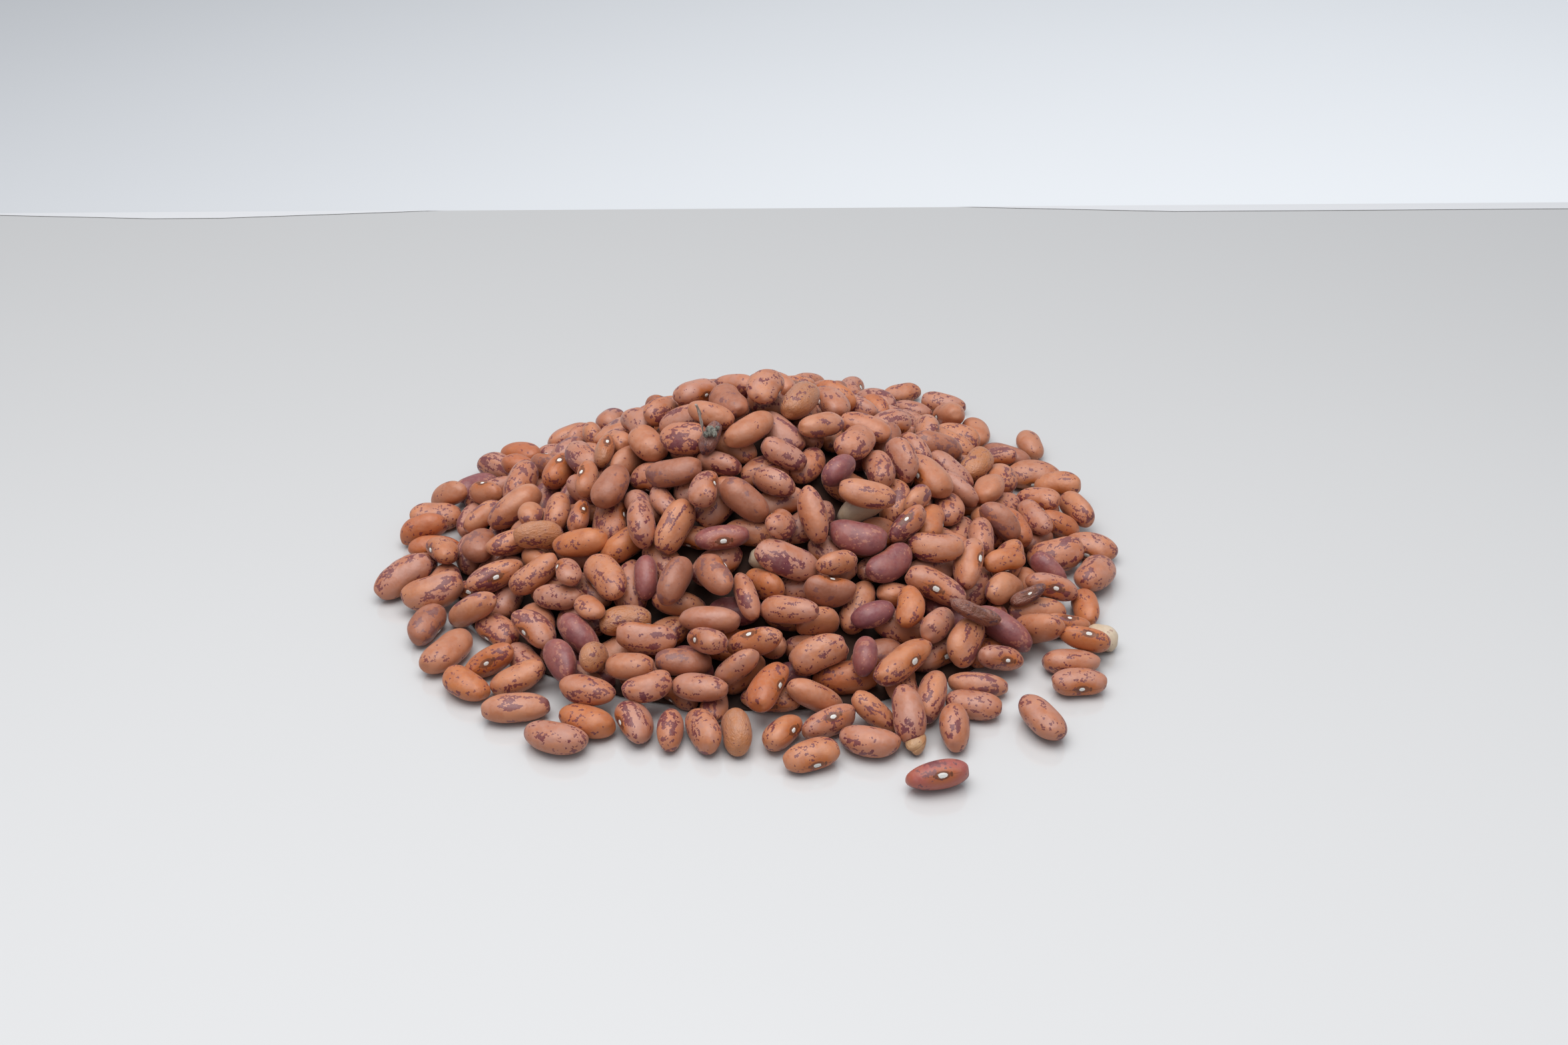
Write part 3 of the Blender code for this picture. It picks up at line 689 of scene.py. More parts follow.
def seed_skin(name, bodies, fleck, coverage, stretch, halo=0.9, wrinkle=0.0, bloom=0.2):
    """A kind of skin: three body colours, its flecks' colour, how much they cover and how they stretch."""
    material = bpy.data.materials.new(name)
    material.use_nodes = True
    tree = material.node_tree
    add, put = nodes_of(tree)
    shader = tree.nodes["Principled BSDF"]
    from_eye = add("Attribute", attribute_name="from_eye").outputs["Vector"]
    number = add("Attribute", attribute_name="bean_number").outputs["Fac"]
    tone = add("Attribute", attribute_name="tone").outputs["Fac"]
    stretch = {"From_Eye": from_eye, "Number": number, "Stretch": stretch}
    marking = grouped(tree, MARKINGS, Coverage=coverage, **stretch)
    relief = grouped(tree, RELIEF, From_Eye=from_eye, Number=number, Wrinkle=wrinkle)
    shade = maths(tree, "MULTIPLY_ADD", maths(tree, "SUBTRACT", marking["Mottle"], 0.5), 2.4, tone)
    shade = ramped(tree, shade, -0.1, 1.1)
    body = mixed(tree, shade, (*bodies[0], 1), (*bodies[1], 1))
    # Painted shade: faces that point down are mixed towards the third, burnt body colour, as undersides in
    # shadow look; the same mix also lays the skin's own tan clouds.
    facing = add("SeparateXYZ")
    put(facing, 0, add("NewGeometry").outputs["Normal"])
    above = ramped(tree, facing.outputs[2], -0.3, 0.9)
    tan_clouds_and_painted_underside = maths(tree, "MULTIPLY_ADD", above, -0.45, 0.45)
    tan_clouds_and_painted_underside = maths(tree, "MAXIMUM", maths(tree, "MULTIPLY", relief["Tan"], 0.62), tan_clouds_and_painted_underside)
    body = mixed(tree, tan_clouds_and_painted_underside, body, (*bodies[2], 1))
    ember = maths(tree, "MULTIPLY", marking["Halo"], halo)
    body = mixed(tree, ember, body, HALO_ORANGE)
    flecks = maths(tree, "MULTIPLY", marking["Flecks"], ramped(tree, marking["Mottle"], 0.3, 0.6, 1.0, 0.85))
    body = mixed(tree, flecks, body, (*fleck, 1))
    # Dust laid only on faces that point up: partly the skin's own dust, partly a painted sheen of the light
    # from overhead.
    dust_and_painted_sheen = maths(tree, "MULTIPLY", maths(tree, "MULTIPLY", relief["Dust"], bloom), above)
    body = mixed(tree, dust_and_painted_sheen, body, DUST_AND_SHEEN_TAN)
    body = mixed(tree, maths(tree, "MULTIPLY", marking["Dark Marks"], 0.88), body, MARK_BROWN)
    put(shader, "Base Color", body)
    put(shader, "Roughness", ramped(tree, relief["Dust"], 0, 1, 0.36, 0.52))
    put(shader, "Specular IOR Level", 0.5)
    put(shader, "Sheen Weight", 0.15)
    put(shader, "Sheen Tint", SHEEN_TINT)
    put(shader, "Sheen Roughness", 0.35)
    bump = add("Bump")
    put(bump, "Height", relief["Height"])
    put(bump, "Strength", 0.5)
    put(bump, "Distance", 0.0006)
    put(shader, "Normal", bump.outputs[0])
    return material


# The kinds: the beans that have no kind in their row share these, in parts, and the rarer ones show at
# stated places, given by x, y and how far the bean's middle lies under the outline.
KIND_SHARES = {
    "finely_flecked": 24,
    "boldly_flecked": 20,
    "streaked": 13,
    "banded": 8,
    "plain": 10,
    "orange": 12,
    "brown": 7,
    "maroon": 3,
    "wrinkled": 1.5,
}
SEEN_AT = {
    "cream": ((1, -39, 9), (27, -23, 9)),
    "maroon": ((-41, -54, 4), (30, -4, 4)),
    "orange": ((65, -14, 3), (-25, 12, 3)),
    "wrinkled": ((12, 8, 3), (58, 12, 3)),
}


def lies_far_from(bean, x, y, depth):
    """How far a bean is from a place, given on the plan and by its depth under the outline."""
    return math.dist(bean["place"], (x, y, float(heap_top(x, y)) - depth))


for kind, spots in SEEN_AT.items():
    for spot in spots:
        unnamed = [bean for bean in heap_beans if bean["kind"] is None]
        min(unnamed, key=lambda bean: lies_far_from(bean, *spot))["kind"] = kind
parts = np.array(list(KIND_SHARES.values()), float)
for bean in heap_beans:
    drawn = skin_draw.choice(list(KIND_SHARES), p=parts / parts.sum())
    bean["kind"] = bean["kind"] or str(drawn)
ALL_KINDS = (*KIND_SHARES, "cream")
BEANS_OF = {kind: [bean for bean in heap_beans if bean["kind"] == kind] for kind in ALL_KINDS}
PINK_TAN = (0.46, 0.205, 0.142)
ORANGE_TAN = (0.54, 0.205, 0.092)
BURNT_TAN = (0.40, 0.115, 0.036)
PLUM = (0.140, 0.022, 0.032)


def kind_piece(kind, bodies, fleck, coverage, stretch, slot="speckled_bean", **finish):
    """The skin of a kind, and all the heap's beans of that kind as one piece."""
    skin = seed_skin(kind + "_skin", bodies, fleck, coverage, stretch, **finish)
    beans_piece(kind + "_beans", BEANS_OF[kind], skin, "bean_heap")


# Tan beans with fine flecks: the commonest kind, a pinkish tan with small jagged plum dots.
# The dots gather at the ends and thin out on the flat sides.
tans = (PINK_TAN, ORANGE_TAN, BURNT_TAN)
kind_piece("finely_flecked", tans, PLUM, 0.56, (0.8, 1.25, 1.25))

# Tan beans with bold flecks: the same skin with blotches a couple of millimetres long.
# The blotches run along the bean and close up in places.
tans = (PINK_TAN, (0.51, 0.19, 0.095), BURNT_TAN)
kind_piece("boldly_flecked", tans, PLUM, 0.66, (0.42, 0.8, 0.8))

# Streaked beans: the flecks have run together into long thin strokes.
# They follow the length of the bean from end to end.
tans = (ORANGE_TAN, PINK_TAN, BURNT_TAN)
kind_piece("streaked", tans, PLUM, 0.64, (0.2, 0.95, 0.95))

# Banded beans: broad plum arcs and patches on a lighter skin.
# The patches are few, and each reaches a third of the way round.
tans = (PINK_TAN, (0.54, 0.22, 0.11), BURNT_TAN)
kind_piece("banded", tans, (0.17, 0.045, 0.055), 0.60, (0.16, 0.42, 0.42))

# Plain beans: a tan skin with next to no flecks.
# They have the same glow and marks round the eye as the flecked ones.
tans = ((0.46, 0.185, 0.10), (0.52, 0.20, 0.10), BURNT_TAN)
kind_piece("plain", tans, PLUM, 0.24, (0.5, 1.0, 1.0))

# Orange beans: a warm burnt orange, darker towards the eye, from pods that ripened longest.
# Their flecks are few and small.
oranges = ((0.52, 0.17, 0.056), (0.46, 0.13, 0.045), (0.38, 0.10, 0.03))
kind_piece("orange", oranges, PLUM, 0.4, (0.6, 1.0, 1.0))

# Brown beans: a reddish brown with blurred darker clouds.
# The clouds take the place of flecks.
browns = ((0.35, 0.125, 0.07), (0.42, 0.145, 0.07), (0.27, 0.08, 0.035))
kind_piece("brown", browns, (0.2, 0.07, 0.06), 0.5, (0.3, 0.5, 0.5))

# Maroon beans: the plum of the flecks all over, with a little tan left between.
# The tan is laid as the flecks are on other beans, and the glow round the eye is faint.
plums = ((0.22, 0.062, 0.070), (0.30, 0.085, 0.070), (0.16, 0.040, 0.052))
kind_piece("maroon", plums, (0.40, 0.15, 0.10), 0.42, (0.5, 1.0, 1.0), slot="maroon_bean", halo=0.5)

# Cream beans: a white kind that has got in among the others, nearly bare of marks.
# There is no glow round their eyes.
creams = ((0.62, 0.50, 0.36), (0.66, 0.55, 0.41), (0.50, 0.34, 0.20))
kind_piece("cream", creams, (0.40, 0.26, 0.2), 0.2, (0.6, 1, 1), halo=0.0)

# Wrinkled beans: the skin has shrunk on them in folds and gone dusty.
# They are flecked a little, like the plain ones.
dusty = ((0.43, 0.185, 0.10), (0.48, 0.19, 0.08), (0.42, 0.14, 0.035))
kind_piece("wrinkled", dusty, PLUM, 0.4, (0.6, 1.0, 1.0), wrinkle=0.6, bloom=0.3)

# The eyes: the white oval scar where each bean hung in its pod, sunk in a thin brown lip.
# A small drum is inset in rings into a lip and a domed pad, and one is pressed into each bean's hollow.
EYE_LENGTH, EYE_WIDTH, EYE_DEPTH = 1.12, 0.56, 0.8
EYE_RINGS = ((0.16, 0.04), (0.12, -0.10), (0.20, 0.12), (0.34, 0.05))
EYE_SHOWS_ABOVE = 1.2


def eye_cage():
    """The eye's cage, its length along X and its face up, a map of it, and its corners."""
    disc = bmesh.new()
    drum = {"cap_ends": True, "segments": 10, "radius1": 1.3, "radius2": 1.18, "depth": 0.5}
    bmesh.ops.create_cone(disc, **drum)
    bmesh.ops.translate(disc, verts=disc.verts, vec=(0, 0, -0.25))
    face = [max(disc.faces, key=lambda face: face.calc_center_median().z)]
    for thickness, depth in EYE_RINGS:
        bmesh.ops.inset_region(disc, faces=face, thickness=thickness, depth=depth, use_even_offset=True)
    mesh = bpy.data.meshes.new("eye_cage")
    disc.to_mesh(mesh)
    disc.free()
    corners = np.array([vert.co[:] for vert in mesh.vertices])
    faces = [tuple(face.vertices) for face in mesh.polygons]
    chart = []
    for face in mesh.polygons:
        scale, middle = (0.02, 0.05) if face.normal.z < -0.9 else (0.36, 0.5)
        chart.extend(corners[corner][:2] * scale + middle for corner in face.vertices)
    return corners, faces, np.array(chart)


EYE_CORNERS, EYE_FACES, EYE_CHART = eye_cage()


def eye_seat(laid):
    """Where a rounded bean's skin has its eye, with the way along it and the way out, from its cage."""
    steps = (-1, 0, 1)
    turn = 2 * math.pi / CAGE_SIDES
    tilt = math.pi / CAGE_RINGS
    near = {}
    for i in steps:
        for j in steps:
            across = math.cos(i * tilt)
            way = (math.sin(i * tilt), -across * math.cos(j * turn), across * math.sin(j * turn))
            near[i, j] = laid[nearest_corner(way)]
    edges = near[1, 0] + near[-1, 0] + near[0, 1] + near[0, -1]
    diagonals = near[1, 1] + near[-1, -1] + near[1, -1] + near[-1, 1]
    seat = (16 * near[0, 0] + 4 * edges + diagonals) / 36
    along = near[1, 0] - near[-1, 0]
    across = near[0, 1] - near[0, -1]
    out = np.cross(across, along)
    out /= np.linalg.norm(out)
    along -= out * (along @ out)
    along /= np.linalg.norm(along)
    return seat, along, out


def eyes_piece(name, beans, material, node):
    """The eyes of some beans, as one piece."""
    sets = []
    for bean in beans:
        seat, along, out = eye_seat(bean["laid"])
        inward = bean["place"] + HEAP_SHIFT - seat
        if out @ inward > 0:
            out = -out
        if seat[2] < EYE_SHOWS_ABOVE:
            continue
        axes = np.stack([along, np.cross(out, along), out])
        size = bean["length"] / BEAN_LENGTH * skin_draw.uniform(0.9, 1.12)
        sets.append((EYE_CORNERS * (EYE_LENGTH * size, EYE_WIDTH * size, EYE_DEPTH)) @ axes + seat)
    attributes = {
        "in_eye": np.tile(EYE_CORNERS, (len(sets), 1)),
        "tone": np.repeat(skin_draw.uniform(0, 1, len(sets)), len(EYE_CORNERS)),
    }
    piece = joined_piece(name, sets, EYE_FACES, EYE_CHART, attributes)
    rounded(piece, 1)
    piece.data.materials.append(material)
    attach(piece, "root")
    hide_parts(node)
    return piece


def eye_skin():
    """Chalky white, greyer in the slit along its middle, with a dark brown lip."""
    material = bpy.data.materials.new("bean_eye_scar")
    material.use_nodes = True
    tree = material.node_tree
    add, put = nodes_of(tree)
    shader = tree.nodes["Principled BSDF"]
    in_eye = add("Attribute", attribute_name="in_eye").outputs["Vector"]
    tone = add("Attribute", attribute_name="tone").outputs["Fac"]
    radius = length_of(tree, stretched(tree, in_eye, (1.0, 1.0, 0.0)))
    slit = length_of(tree, stretched(tree, in_eye, (1.3, 7.0, 0.0)))
    white = mixed(tree, tone, (0.62, 0.59, 0.54, 1), (0.82, 0.80, 0.76, 1))
    white = mixed(tree, ramped(tree, slit, 0.5, 1.0, 0.35, 0.0), white, (0.36, 0.32, 0.28, 1))
    put(shader, "Base Color", mixed(tree, ramped(tree, radius, 0.84, 0.98), white, (0.16, 0.05, 0.022, 1)))
    put(shader, "Roughness", ramped(tree, noise(tree, in_eye, 3.0, 2.0), 0.3, 0.7, 0.6, 0.8))
    return material


scar = eye_skin()
eyes_piece("bean_eyes", heap_beans, scar, "bean_heap")

# Shrivelled beans: dark, thin ones that dried in a broken pod, caved in along one side.
# They have the other beans' cage, drawn in further and more unevenly, and are laid last, on top.
SHRIVELLED = (
    (47, -51, -12, 30, 11.5, 5.6),
    (64, -42, 48, -60, 9.4, 4.8),
    (-8, -13, 80, 0, 8.0, 4.6),
)
SHRIVELLED_REACH = (2.2, 2.2, 0.3, 0.5, 0.4)
last_draw = np.random.default_rng(DRAW_SEED)
for row in SHRIVELLED:
    table.place(row, last_draw, "shrivelled", SHRIVELLED_REACH)
shrivelled_beans = table.beans[len(heap_beans) :]
lilac = ((0.13, 0.040, 0.038), (0.20, 0.060, 0.032), (0.22, 0.060, 0.020))
shrivelled = {"halo": 0.0, "wrinkle": 1.2, "bloom": 0.42}
skin = seed_skin("shrivelled_skin", lilac, (0.07, 0.02, 0.03), 0.5, (0.4, 0.7, 0.7), **shrivelled)


def caved_in(bean):
    """A bean's corners drawn in on the side that faces up, in the bean's own frame."""
    own = bean_skin(CAGE, bean) * (uneven(CAGE)[:, None] * 4 - 3)
    up = CAGE @ bean["turn"][2]
    return own * (1 - 0.42 * np.clip(up, 0, 1) ** 2 * np.exp(-((CAGE[:, 0] / 0.6) ** 2)))[:, None]


beans_piece("shrivelled_beans", shrivelled_beans, skin, "bean_heap", form=caved_in)
eyes_piece("shrivelled_eyes", shrivelled_beans[1:2], scar, "bean_heap")

# The husk: half of a bean's empty skin, torn open, with a dry papery edge.
# It lies on the table at the heap's front edge.
HUSK = (36, -87, 78, 150, 6.2, 5.2)
TEAR_SIDE = (-0.35, -0.75, 0.55)
HUSK_THICKNESS = 0.35
husk = lay_stray(HUSK, stray_draw)


def husk_piece(name, bean, material):
    """The bean's cage without the faces on its torn side, as a thin shell."""
    laid, own = bean_corners(bean)
    ragged = skin_draw.uniform(0.82, 1.06, len(CAGE))[:, None]
    middle = bean["place"] + HEAP_SHIFT
    laid = middle + (laid - middle) * ragged
    torn = CAGE @ (np.array(TEAR_SIDE) / np.linalg.norm(TEAR_SIDE))
    kept = [index for index, face in enumerate(CAGE_FACES) if torn[list(face)].mean() < 0.45]
    loops = np.cumsum([0] + [len(face) for face in CAGE_FACES])
    chart = np.concatenate([CAGE_CHART[loops[index] : loops[index + 1]] for index in kept])
    attributes = {"from_eye": own, "bean_number": np.full(len(CAGE), 3.0), "tone": np.full(len(CAGE), 0.5)}
    piece = joined_piece(name, [laid], [CAGE_FACES[index] for index in kept], chart, attributes)
    shell = piece.modifiers.new("shell", "SOLIDIFY")
    shell.thickness = HUSK_THICKNESS * MM
    rounded(piece, 2)
    piece.data.materials.append(material)
    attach(piece, "root")
    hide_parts("bean_heap")


papery = ((0.44, 0.24, 0.11), (0.54, 0.33, 0.17), (0.42, 0.15, 0.035))
skin = seed_skin("papery_skin", papery, (0.30, 0.14, 0.07), 0.35, (0.6, 1.0, 1.0), halo=0.0, wrinkle=0.5)
husk_piece("torn_husk", husk, skin)

# The twig: a bit of dry knobbly stalk that stands up near the top, with crumbs of earth at its foot.
# A disc is drawn up from step to step, each with its x, y and z over the foot and its radius.
TWIG_FOOT = (-11, -17)
TWIG_STEPS = (
    (0, 0, -1.5, 0.66),
    (-0.4, 0.1, 0.8, 0.52),
    (-0.5, 0.3, 2.2, 0.70),
    (-0.9, 0.2, 3.6, 0.48),
    (-0.9, 0.5, 4.8, 0.76),
    (-1.5, 0.6, 6.2, 0.42),
    (-1.8, 0.6, 6.9, 0.56),
)
TWIG_SIDES = 6


def twig_piece(name, foot):
    """The stalk from its foot up, which twists by a radian a millimetre. Only its two ends are capped."""
    made = bmesh.new()
    bmesh.ops.create_circle(made, cap_ends=True, segments=TWIG_SIDES, radius=1)
    made.faces.ensure_lookup_table()
    tip = made.faces[0]
    at = Matrix.Identity(4)
    for number, (x, y, z, radius) in enumerate(TWIG_STEPS):
        if number:
            grown = bmesh.ops.extrude_face_region(made, geom=[tip])["geom"]
            if number > 1:
                bmesh.ops.delete(made, geom=[tip], context="FACES_ONLY")
            tip = next(part for part in grown if isinstance(part, bmesh.types.BMFace))
        turned = Matrix.Rotation(z - math.pi / 2, 4, "Z") @ Matrix.Diagonal((radius, radius, 1, 1))
        wanted = Matrix.Translation(Vector(foot) + Vector((x, y, z))) @ turned
        bmesh.ops.transform(made, matrix=wanted @ at.inverted(), verts=tip.verts[:])
        at = wanted
    bmesh.ops.scale(made, vec=(MM, MM, MM), verts=made.verts[:])
    bmesh.ops.recalc_face_normals(made, faces=made.faces[:])
    return plain_piece(name, made)


def plain_piece(name, made):
    """A piece of the heap from a finished bmesh, smooth and rounded."""
    mesh = bpy.data.meshes.new(name)
    made.to_mesh(mesh)
    made.free()
    mesh.shade_smooth()
    piece = bpy.data.objects.new(name, mesh)
    bpy.context.scene.collection.objects.link(piece)
    rounded(piece, 1)
    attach(piece, "root")
    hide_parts("bean_heap")
    return piece


def dry_matter(name, dark, pale, scale):
    """Dead plant matter or earth, mottled between two colours."""
    material = bpy.data.materials.new(name)
    material.use_nodes = True
    tree = material.node_tree
    add, put = nodes_of(tree)
    grain = noise(tree, stretched(tree, add("TexCoord").outputs["Object"], (1, 1, 0.35)), scale, 4.0, 0.7)
    shader = tree.nodes["Principled BSDF"]
    put(shader, "Base Color", mixed(tree, ramped(tree, grain, 0.35, 0.65), (*dark, 1), (*pale, 1)))
    put(shader, "Roughness", 0.8)
    bump = add("Bump")
    put(bump, "Height", grain)
    put(bump, "Strength", 0.6)
    put(bump, "Distance", 0.0003)
    put(shader, "Normal", bump.outputs[0])
    return material


def top_of_heap(x, y):
    """The height in millimetres of what has been laid, at a place on the plan."""
    column = table.columns(np.array([x]), np.array([y]))
    return float(table.height[column][0])


foot = np.array([*TWIG_FOOT, top_of_heap(*TWIG_FOOT)]) + HEAP_SHIFT
twig = twig_piece("dry_twig", foot)
twig.data.materials.append(dry_matter("dry_stalk", (0.22, 0.155, 0.12), (0.48, 0.40, 0.35), 900.0))

# The crumbs: grey earth that clings at the foot of the twig, each as x, y and z over the foot and its size.
# They are balls of few faces with every corner pushed in or out.
CRUMB_RANGE = (0.5, 1.35)
CRUMBS = ((1.6, -0.6, 0.4, 2.8), (2.6, -1.6, 0.0, 1.8), (0.6, -1.4, -0.2, 1.6), (3.2, 0.2, 0.6, 1.3))


def crumbs_piece(name, places):
    """Ragged crumbs, each a ball of few faces pushed in and out."""
    made = bmesh.new()
    for x, y, z, size in places:
        ball = bmesh.ops.create_icosphere(made, subdivisions=2, radius=size * MM / 2)["verts"]
        for vert in ball:
            vert.co *= skin_draw.uniform(*CRUMB_RANGE)
            vert.co += Vector((x, y, z)) * MM
    return plain_piece(name, made)


earth = crumbs_piece("earth_crumbs", [(*(foot + over), size) for *over, size in CRUMBS])
earth.data.materials.append(dry_matter("grey_earth", (0.060, 0.056, 0.048), (0.27, 0.265, 0.22), 1600.0))

# The core: what is deeper in the heap than light reaches, as one dark body under the laid beans.
# A line of points is spun into a disc, raised to just under the bed of beans, and closed flat below.
CORE_SECTORS = 48
CORE_RINGS = 12
CORE_SHARE = 0.86
CORE_UNDER_BED = 0.4
CORE_RIM, CORE_FOOT = 0.8, 0.3


def core_piece(name):
    """The dark body inside the heap."""
    made = bmesh.new()
    line = [made.verts.new((step / CORE_RINGS, 0, 0)) for step in range(CORE_RINGS + 1)]
    edges = [made.edges.new(pair) for pair in zip(line, line[1:])]
    whole_turn = {"steps": CORE_SECTORS, "angle": 2 * math.pi, "use_merge": True}
    bmesh.ops.spin(made, geom=line + edges, axis=(0, 0, 1), cent=(0, 0, 0), **whole_turn)
    bmesh.ops.remove_doubles(made, verts=made.verts[:], dist=0.001)
    flat = np.array([vert.co[:2] for vert in made.verts])
    flat *= CORE_SHARE * outline_radius(np.arctan2(flat[:, 1], flat[:, 0]))[:, None]
    tops = np.maximum(heap_top(*flat.T) - BED_DEPTH - CORE_UNDER_BED, CORE_RIM)
    for vert, place, top in zip(made.verts, flat + HEAP_SHIFT[:2], tops):
        vert.co = Vector((*place, top)) * MM
    rim = [edge for edge in made.edges if edge.is_boundary]
    wall = bmesh.ops.extrude_edge_only(made, edges=rim)["geom"]
    for vert in (part for part in wall if isinstance(part, bmesh.types.BMVert)):
        vert.co.z = CORE_FOOT * MM
    bmesh.ops.contextual_create(made, geom=[edge for edge in made.edges if edge.is_boundary])
    bmesh.ops.recalc_face_normals(made, faces=made.faces[:])
    mesh = bpy.data.meshes.new(name)
    made.to_mesh(mesh)
    made.free()
    mesh.shade_smooth()
    piece = bpy.data.objects.new(name, mesh)
    bpy.context.scene.collection.objects.link(piece)
    return piece


def shade_between_beans():
    """The dark reddish brown between buried beans, clouded."""
    material = bpy.data.materials.new("shade_between_beans")
    material.use_nodes = True
    tree = material.node_tree
    add, put = nodes_of(tree)
    place = add("TexCoord").outputs["Object"]
    clouds = ramped(tree, noise(tree, place, 160.0, 3.0), 0.35, 0.65)
    colour = mixed(tree, clouds, (0.020, 0.008, 0.005, 1), (0.055, 0.022, 0.012, 1))
    shader = tree.nodes["Principled BSDF"]
    put(shader, "Base Color", colour)
    put(shader, "Roughness", 0.85)
    return material


core = core_piece("heap_core")
core.data.materials.append(shade_between_beans())
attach(core, "root")
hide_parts("bean_heap")

# The stray beans: one red and one flecked, which have rolled clear of the heap.
# They are shaped as the others are, and lie on the sheet by themselves.
reds = ((0.36, 0.082, 0.066), (0.27, 0.066, 0.066), (0.40, 0.10, 0.05))
skin = seed_skin("red_stray_skin", reds, (0.15, 0.04, 0.05), 0.45, (0.4, 0.6, 0.6), halo=0.7)
red_bean = [stray_beans["stray_bean_red"]]
beans_piece("red_stray", red_bean, skin, "stray_bean_red")
eyes_piece("red_stray_eye", red_bean, scar, "stray_bean_red")
skin = seed_skin("flecked_stray_skin", (PINK_TAN, ORANGE_TAN, BURNT_TAN), PLUM, 0.62, (0.55, 0.9, 0.9))
flecked_bean = [stray_beans["stray_bean_speckled"]]
beans_piece("flecked_stray", flecked_bean, skin, "stray_bean_speckled")
eyes_piece("flecked_stray_eye", flecked_bean, scar, "stray_bean_speckled")

# The floor: a glossy white sheet that ends a hand's breadth behind the heap, on pale grey paper, both with
# painted light falloff.
# Painted gleams of light lie along two stretches of its far edge. All of it is stage and not part of the
# heap.
SHEET_REACH = 1.6
SHEET_EDGE = 0.222
SHEET_TURN = 0.0185
PAPER_REACH = 3.0
PAPER_DROP = 0.002
WHITE_TONES = ((0.66, 0.655, 0.65, 1), (0.52, 0.515, 0.51, 1))
GREY_TONES = ((0.53, 0.54, 0.555, 1), (0.82, 0.84, 0.86, 1))
GLEAM_TONES = ((0.54, 0.54, 0.54, 1), (0.68, 0.68, 0.69, 1))
# Painted gleam: two pale strips along the sheet's far edge stand for the light that catches it.
GLEAMS = {"edge_gleam_left": (-0.30, -0.115), "edge_gleam_right": (0.07, SHEET_REACH)}
GLEAM_WIDTH, GLEAM_TAPER, GLEAM_FADE, GLEAM_LIFT = 0.006, 0.08, 0.04, 0.0002


def flat_piece(name, corners, height):
    """A flat four-cornered sheet at a height."""
    made = bmesh.new()
    made.faces.new([made.verts.new((x, y, height)) for x, y in corners])
    mesh = bpy.data.meshes.new(name)
    made.to_mesh(mesh)
    made.free()
    piece = bpy.data.objects.new(name, mesh)
    bpy.context.scene.collection.objects.link(piece)
    return piece


def sheet_gloss(name, tones, axis, reach, roughness, ior):
    """Pale plastic or paper that darkens or lightens along an axis, with slow clouds in it."""
    material = bpy.data.materials.new(name)
    material.use_nodes = True
    tree = material.node_tree
    add, put = nodes_of(tree)
    place = add("TexCoord").outputs["Object"]
    parts = add("SeparateXYZ")
    put(parts, 0, place)
    run = maths(tree, "MULTIPLY_ADD", noise(tree, place, 5.0, 2.0), 0.04, parts.outputs[axis])
    shader = tree.nodes["Principled BSDF"]
    put(shader, "Base Color", mixed(tree, ramped(tree, run, *reach), tones[0], tones[1]))
    put(shader, "Roughness", roughness)
    put(shader, "IOR", ior)
    return material


def far_edge(x):
    """How far back the sheet's edge lies, which runs a little askew."""
    return HEAP_SHIFT[1] * MM + SHEET_EDGE + x * math.tan(SHEET_TURN)


front = [(-SHEET_REACH, -SHEET_REACH), (SHEET_REACH, -SHEET_REACH)]
back = [(x, far_edge(x)) for x in (SHEET_REACH, -SHEET_REACH)]
sheet = flat_piece("white_sheet", front + back, 0.0)
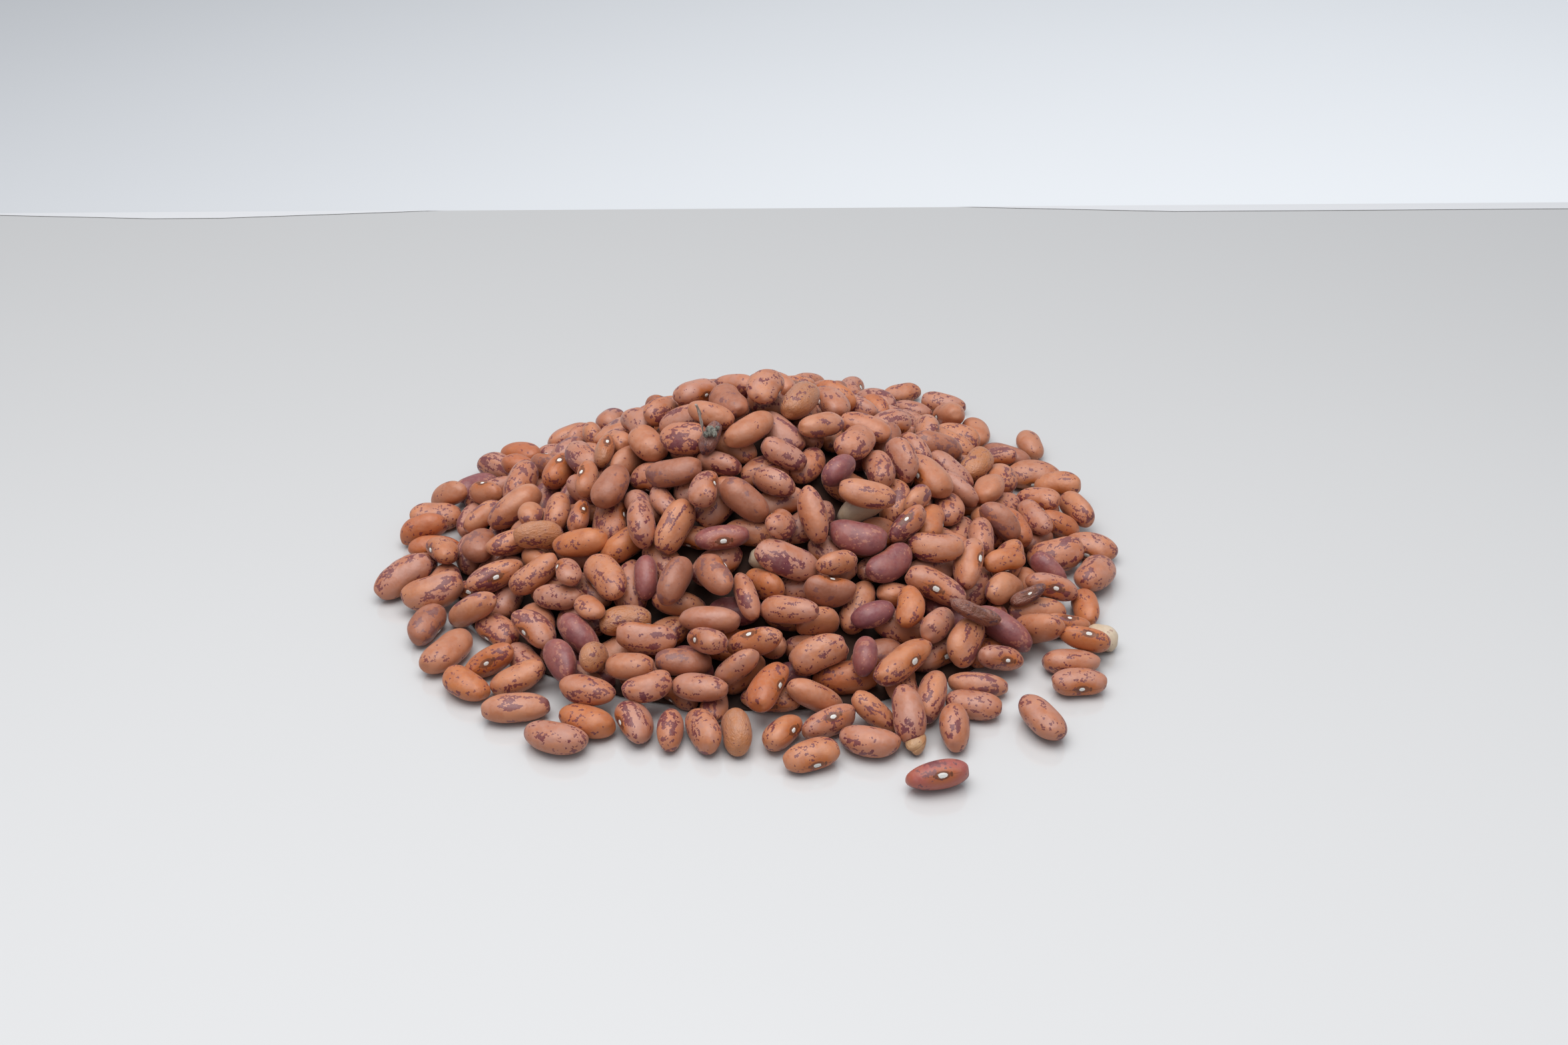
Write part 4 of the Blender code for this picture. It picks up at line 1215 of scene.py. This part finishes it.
# Painted light falloff: the sheet's colour runs from lighter at the front to darker at the back.
sheet.data.materials.append(sheet_gloss("white_sheet_gloss", WHITE_TONES, 1, (-0.30, 0.25), 0.12, 1.8))
for name, (start, end) in GLEAMS.items():
    near = [(x, far_edge(x) - GLEAM_WIDTH) for x in (start + GLEAM_TAPER, end - GLEAM_TAPER)]
    gleam = flat_piece(name, near + [(x, far_edge(x)) for x in (end, start)], GLEAM_LIFT)
    gloss = sheet_gloss(name, GLEAM_TONES, 0, (start, start + GLEAM_FADE), 0.3, 1.6)
    gleam.data.materials.append(gloss)
corners = [(x * PAPER_REACH, y * PAPER_REACH) for x, y in ((-1, -1), (1, -1), (1, 1), (-1, 1))]
paper = flat_piece("grey_paper", corners, -PAPER_DROP)
# Painted light falloff: the paper's colour runs from darker on the left to lighter on the right.
paper.data.materials.append(sheet_gloss("grey_paper_matt", GREY_TONES, 0, (-0.5, 0.6), 0.7, 1.4))

# The light: one large soft box over the heap, turned to face the middle of its foot.
# It hangs in a pale room that is brightest overhead.
ROOM_COLOUR = (0.90, 0.94, 1.0, 1)
ROOM_DARK, ROOM_BRIGHT = 0.32, 0.66
BOX_PLACE = Vector((-0.06, -0.05, 0.80))
BOX_SIZE = 0.8
BOX_POWER = 6.9
sky = bpy.data.worlds.new("pale_room")
sky.use_nodes = True
bpy.context.scene.world = sky
add, put = nodes_of(sky.node_tree)
up = add("SeparateXYZ")
put(up, 0, add("TexCoord").outputs["Generated"])
glow = sky.node_tree.nodes["Background"]
put(glow, "Color", ROOM_COLOUR)
put(glow, "Strength", ramped(sky.node_tree, up.outputs[2], -0.1, 0.9, ROOM_DARK, ROOM_BRIGHT))
lamp = bpy.data.lights.new("overhead_box", "AREA")
lamp.shape = "SQUARE"
lamp.size = BOX_SIZE
lamp.energy = BOX_POWER
box = bpy.data.objects.new("overhead_box", lamp)
bpy.context.scene.collection.objects.link(box)
box.location = BOX_PLACE
box.rotation_mode = "QUATERNION"
box.rotation_quaternion = (-BOX_PLACE).to_track_quat("-Z", "Y")

# The camera: a 40 mm lens on a full frame, which looks down at the heap by 32 degrees.
# Its place is given from where the heap is laid.
CAMERA_PLACE = (0.008, -0.3786, 0.240)
LOOKS_DOWN = 32
bpy.context.scene.view_settings.view_transform = "Standard"
lens = bpy.data.cameras.new("camera")
lens.lens = 40
lens.sensor_width = 36
lens.clip_start = 0.01
camera = bpy.data.objects.new("camera", lens)
camera.location = Vector(HEAP_SHIFT * MM) + Vector(CAMERA_PLACE)
camera.rotation_euler = (math.radians(90 - LOOKS_DOWN), 0, 0)
bpy.context.scene.collection.objects.link(camera)
bpy.context.scene.camera = camera
